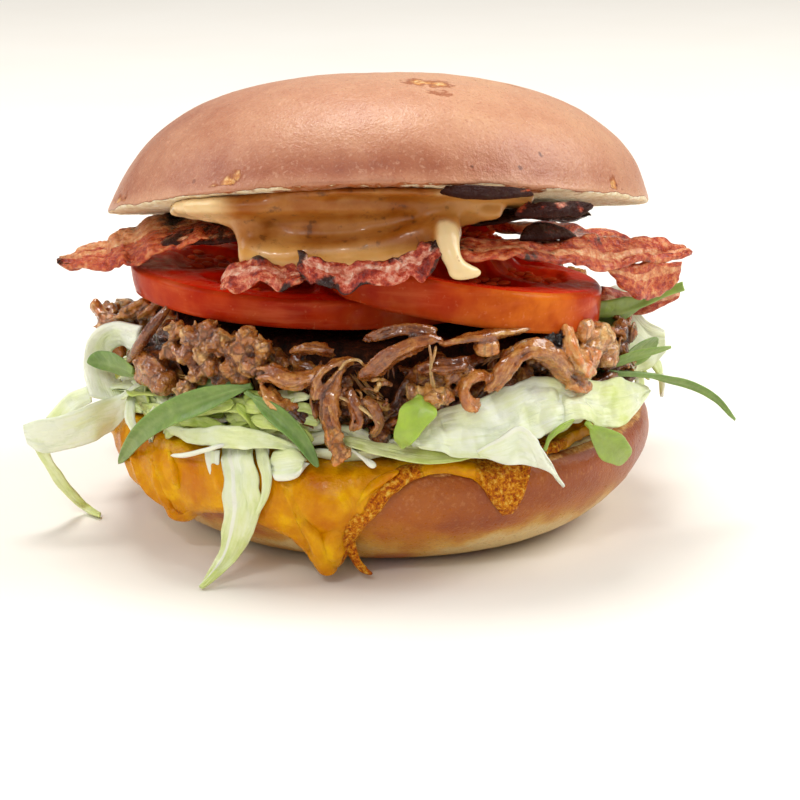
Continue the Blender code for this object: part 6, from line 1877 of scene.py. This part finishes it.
    # loose fibres that lie on the heap
    for k in range(95):
        a, r, p, low, top, shade = site((-0.5, 1.1))
        tang = np.array([-math.sin(a), math.cos(a), 0])
        outv = np.array([math.cos(a), math.sin(a), 0])
        d = unit(tang * rng.normal(0, 1) + np.array([0, 0, 1]) * rng.normal(0, 0.55))
        e = np.cross(outv, d)
        s_ = np.linspace(-0.5, 0.5, 6)
        L, w = rng.uniform(3, 9), rng.normal(0, 1.3)
        base_tint = float(rng.uniform(0.35, 0.8))
        for m_ in range(int(rng.integers(2, 5))):
            L2 = L * rng.uniform(0.7, 1.0)
            pos = p + e * (0.42 * m_) + d * (s_ * L2 + rng.normal(0, 0.4))[:, None] + e * (w * np.cos(s_ * 3.1))[:, None] - outv * (0.03 * (s_ * L2) ** 2)[:, None] + rng.normal(0, 0.10, (6, 3))
            pos[:, 2] = np.clip(pos[:, 2], low - 0.4, top + 0.3)
            V, q, t, fu, fv = tube(pos, rng.uniform(0.16, 0.32), 10, 5, flat=0.8, taper=0.35, rng=rng)
            strands.add(V, q, t, tint=base_tint + rng.normal(0, 0.06), deep=0.0, fu=fu, fv=fv, orange=0.0)
    core.make("chicken_core", MEAT_PAINTED_SHADE, "pulled_chicken", "pulled_chicken")
    skin.make("chicken_heap", CHICKEN, "pulled_chicken")
    strands.make("chicken_strands", CHICKEN, "pulled_chicken")


build_meat()


# ---------------------------------------------------------------------------
# sauce
# ---------------------------------------------------------------------------
def build_sauce():
    bag = Bag()
    flat = np.eye(3)

    def ball(p, radii, axes=flat):
        V, q, t, _, _ = blob(np.asarray(p, float), radii, axes, 28, 18, 0.0, 4.0, 0.0, 1)
        bag.add(V, q, t)

    c, s = math.cos(-CROWN_TILT), math.sin(-CROWN_TILT)
    tilt = np.array([[1, 0, 0], [0, c, s], [0, -s, c]])
    # the pad it rests in, the film under the crown, and the body between
    ball((-6, -27, 64.0), (19.0, 15.0, 4.4), tilt)
    ball((-14, -27, 66.6), (26.0, 18.0, 2.6), tilt)
    ball((-20, -31, 67.6), (17.0, 14.0, 2.4), tilt)
    ball((6, -31, 68.0), (15.0, 12.0, 2.8), tilt)
    for px, py, y, rad in (
        # the lip
        (257, 253, -40.6, (3.6, 3.4, 3.2)), (272, 257, -41.4, (4.2, 3.6, 3.0)), (292, 258, -42.0, (4.4, 3.6, 3.0)), (312, 255, -42.4, (4.6, 3.6, 3.0)),
        (334, 255, -42.6, (4.6, 3.6, 3.0)), (356, 253, -42.8, (4.6, 3.6, 3.0)), (378, 249, -42.8, (4.4, 3.6, 3.0)), (398, 245, -42.6, (4.2, 3.6, 3.0)),
        (416, 240, -42.6, (4.0, 3.4, 3.2)), (433, 235, -43.0, (3.4, 3.2, 3.2)), (447, 232, -43.0, (2.8, 2.8, 3.0)),
        # the slope behind it
        (260, 243, -37.0, (3.8, 4.0, 3.6)), (284, 242, -37.5, (5.0, 4.2, 3.6)), (312, 240, -37.5, (6.0, 4.2, 3.6)), (345, 237, -37.5, (6.0, 4.2, 3.6)),
        (378, 234, -37.5, (6.0, 4.2, 3.6)), (410, 229, -37.5, (5.4, 4.2, 3.6)), (434, 223, -38.0, (4.4, 4.0, 3.6)),
        (262, 226, -31.5, (4.6, 5.0, 5.0)), (290, 224, -31.0, (5.4, 5.0, 5.0)), (326, 222, -31.0, (6.0, 5.0, 5.0)), (366, 219, -31.0, (6.0, 5.0, 5.0)),
        (404, 215, -31.5, (5.4, 5.0, 5.0)), (436, 211, -33.5, (4.4, 4.6, 4.4)), (462, 212, -36.0, (3.8, 3.6, 2.4)), (486, 211, -37.0, (3.4, 3.4, 1.6)),
        # the pale skirt at its left end
        (236, 213, -35.0, (4.0, 4.4, 2.2)), (216, 212, -32.0, (3.6, 4.4, 1.6)), (200, 211, -29.0, (3.4, 4.0, 1.3)), (250, 224, -38.0, (3.0, 3.6, 4.0)), (184, 210, -26.0, (3.0, 3.6, 1.1)),
    ):
        ball(at_y(px, py, y), rad)
    # a film spread over the cut face of the crown
    for x in np.arange(-31.0, 29.0, 4.0):
        rim_y = CROWN_AT[1] - 0.972 * math.sqrt(49.3**2 - (x - CROWN_AT[0]) ** 2)
        for step_y in (3.2, 6.5, 10.0, 13.5):
            y = rim_y + step_y + 0.8 * float(noise(np.array([[x, step_y, 3.0]]), 6.0, 90)[0])
            ball((x, y, float(crown_under(x, y)) - 0.25), (3.3, 3.3, 0.95 + 0.35 * float(noise(np.array([[x, y, 0.0]]), 5.0, 91)[0])), tilt)
    # the drip over the tomato, ending in a foot
    for path, rads in (
        ([(441, 224, -42.6), (446, 238, -46.4), (450, 252, -49.0), (454, 265, -50.6)], [3.0, 2.7, 2.1, 2.0]),
        ([(449, 267, -50.6), (458, 271, -50.6), (470, 272, -50.0), (483, 273, -49.0)], [1.6, 2.0, 1.6, 0.9]),
    ):
        V, q, t, _, _ = tube([at_y(*p) for p in path], rads, 22, 16, taper=0.55)
        bag.add(V, q, t)
    ob = bag.make("sauce_pool", SAUCE, "burger_sauce", "burger_sauce")
    bpy.context.view_layer.objects.active = ob
    remesh = ob.modifiers.new("Melt", "REMESH")
    remesh.mode = "VOXEL"
    remesh.voxel_size = 0.00066
    soften = ob.modifiers.new("Soften", "SMOOTH")
    soften.factor = 0.6
    soften.iterations = 16
    graph = bpy.context.evaluated_depsgraph_get()
    mesh = bpy.data.meshes.new_from_object(ob.evaluated_get(graph))
    ob.modifiers.clear()
    ob.data = mesh
    mesh.materials.clear()
    mesh.materials.append(SAUCE)
    # keep it under the crown's cut face
    n = len(mesh.vertices)
    co = np.empty(n * 3, np.float32)
    mesh.vertices.foreach_get("co", co)
    P = co.reshape(-1, 3) * 1000.0
    roof = crown_under(P[:, 0], P[:, 1]) + 0.35
    P[:, 2] = np.minimum(P[:, 2], roof)
    P += unit(P * [1, 1, 0] + [0, 0, 1e-6]) * (0.22 * fbm(P, 6.0, 2, 88))[:, None]
    mesh.vertices.foreach_set("co", (P * 0.001).astype(np.float32).ravel())
    skirt = sm((-25.5 - P[:, 0] + 1.5 * fbm(P, 5.0, 2, 87)) / 7.0)
    film = sm((3.2 - (crown_under(P[:, 0], P[:, 1]) - P[:, 2])) / 1.6)
    # the low front lip, painted paler as lit
    lip = sm((61.8 - P[:, 2]) / 2.0) * sm((-39.0 - P[:, 1]) / 3.0) * (1 - film)
    foot = sm((-45.4 - P[:, 1]) / 1.6) * sm((P[:, 0] - 9.0) / 1.5)
    behind = sm((P[:, 1] + 40.5) / 3.5) * sm((P[:, 2] - 60.0) / 3.0)
    high = sm((P[:, 2] - 61.9 + 0.8 * fbm(P, 9.0, 2, 89)) / 3.0) * (1 - foot)
    # browner up near the crown and further back: partly sauce soaked into the crumb, partly painted shade under the
    # crown
    soak_and_shade = np.clip(np.maximum(np.maximum(film * 0.95, behind), high), 0, 1) * (1 - 0.9 * skirt) * (1 - 0.62 * sm((P[:, 0] - 7.0) / 10.0)) * (1 - lip) * (1 - foot)
    lip = np.maximum(lip, 0.8 * skirt)
    drip = np.maximum(sm((-44.2 - P[:, 1]) / 1.6) * sm((P[:, 0] - 9.0) / 1.5), 0.75 * skirt)
    for key, value in (("lip", lip), ("soak_and_shade", soak_and_shade), ("drip", drip)):
        at = mesh.attributes.new(key, "FLOAT", "POINT")
        at.data.foreach_set("value", value.astype(np.float32))
    mesh.update()
    mesh.shade_smooth()
    return ob


build_sauce()

# ---------------------------------------------------------------------------
# floor and light
# ---------------------------------------------------------------------------
floor_mesh = bpy.data.meshes.new("floor")
floor_mesh.from_pydata([(-4, -4, 0), (4, -4, 0), (4, 6, 0), (-4, 6, 0)], [], [(0, 1, 2, 3)])
floor = bpy.data.objects.new("floor", floor_mesh)
bpy.context.scene.collection.objects.link(floor)
fm = Mat("floor", rough=0.7, spec=0.2)
fm.colour(fm.mix(fm.noise(60, 3), lin(236, 230, 219), lin(240, 235, 226)))
floor_mesh.materials.append(fm.m)


def area(name, place, look, size, power, colour=(1, 1, 1)):
    data = bpy.data.lights.new(name, "AREA")
    data.shape = "RECTANGLE"
    data.size, data.size_y = size
    data.energy = power
    data.color = colour
    ob = bpy.data.objects.new(name, data)
    ob.location = place
    d = np.array(look, float) - np.array(place, float)
    from mathutils import Vector

    ob.rotation_euler = Vector(d).to_track_quat("-Z", "Y").to_euler()
    bpy.context.scene.collection.objects.link(ob)
    return ob


area("key", (-0.10, 0.24, 0.86), (0, 0, 0.05), (0.40, 0.30), 5.2)
area("right", (0.66, 0.08, 0.58), (0, 0, 0.05), (0.5, 0.5), 5.6)
area("front", (-0.22, -0.85, 0.55), (0, 0, 0.04), (0.7, 0.5), 1.8)
area("glint", (-0.24, -0.62, 0.62), (0, 0, 0.05), (0.12, 0.06), 1.1)
area("left", (-0.75, 0.10, 0.50), (0, 0, 0.05), (0.5, 0.5), 2.6)

world = bpy.context.scene.world or bpy.data.worlds.new("world")
bpy.context.scene.world = world
world.use_nodes = True
bg = world.node_tree.nodes.get("Background") or world.node_tree.nodes.new("ShaderNodeBackground")
bg.inputs["Color"].default_value = (1.0, 1.0, 1.0, 1.0)
bg.inputs["Strength"].default_value = 0.33

scene = bpy.context.scene
scene.view_settings.view_transform = "Standard"
scene.view_settings.look = "None"
scene.view_settings.exposure = 0.0
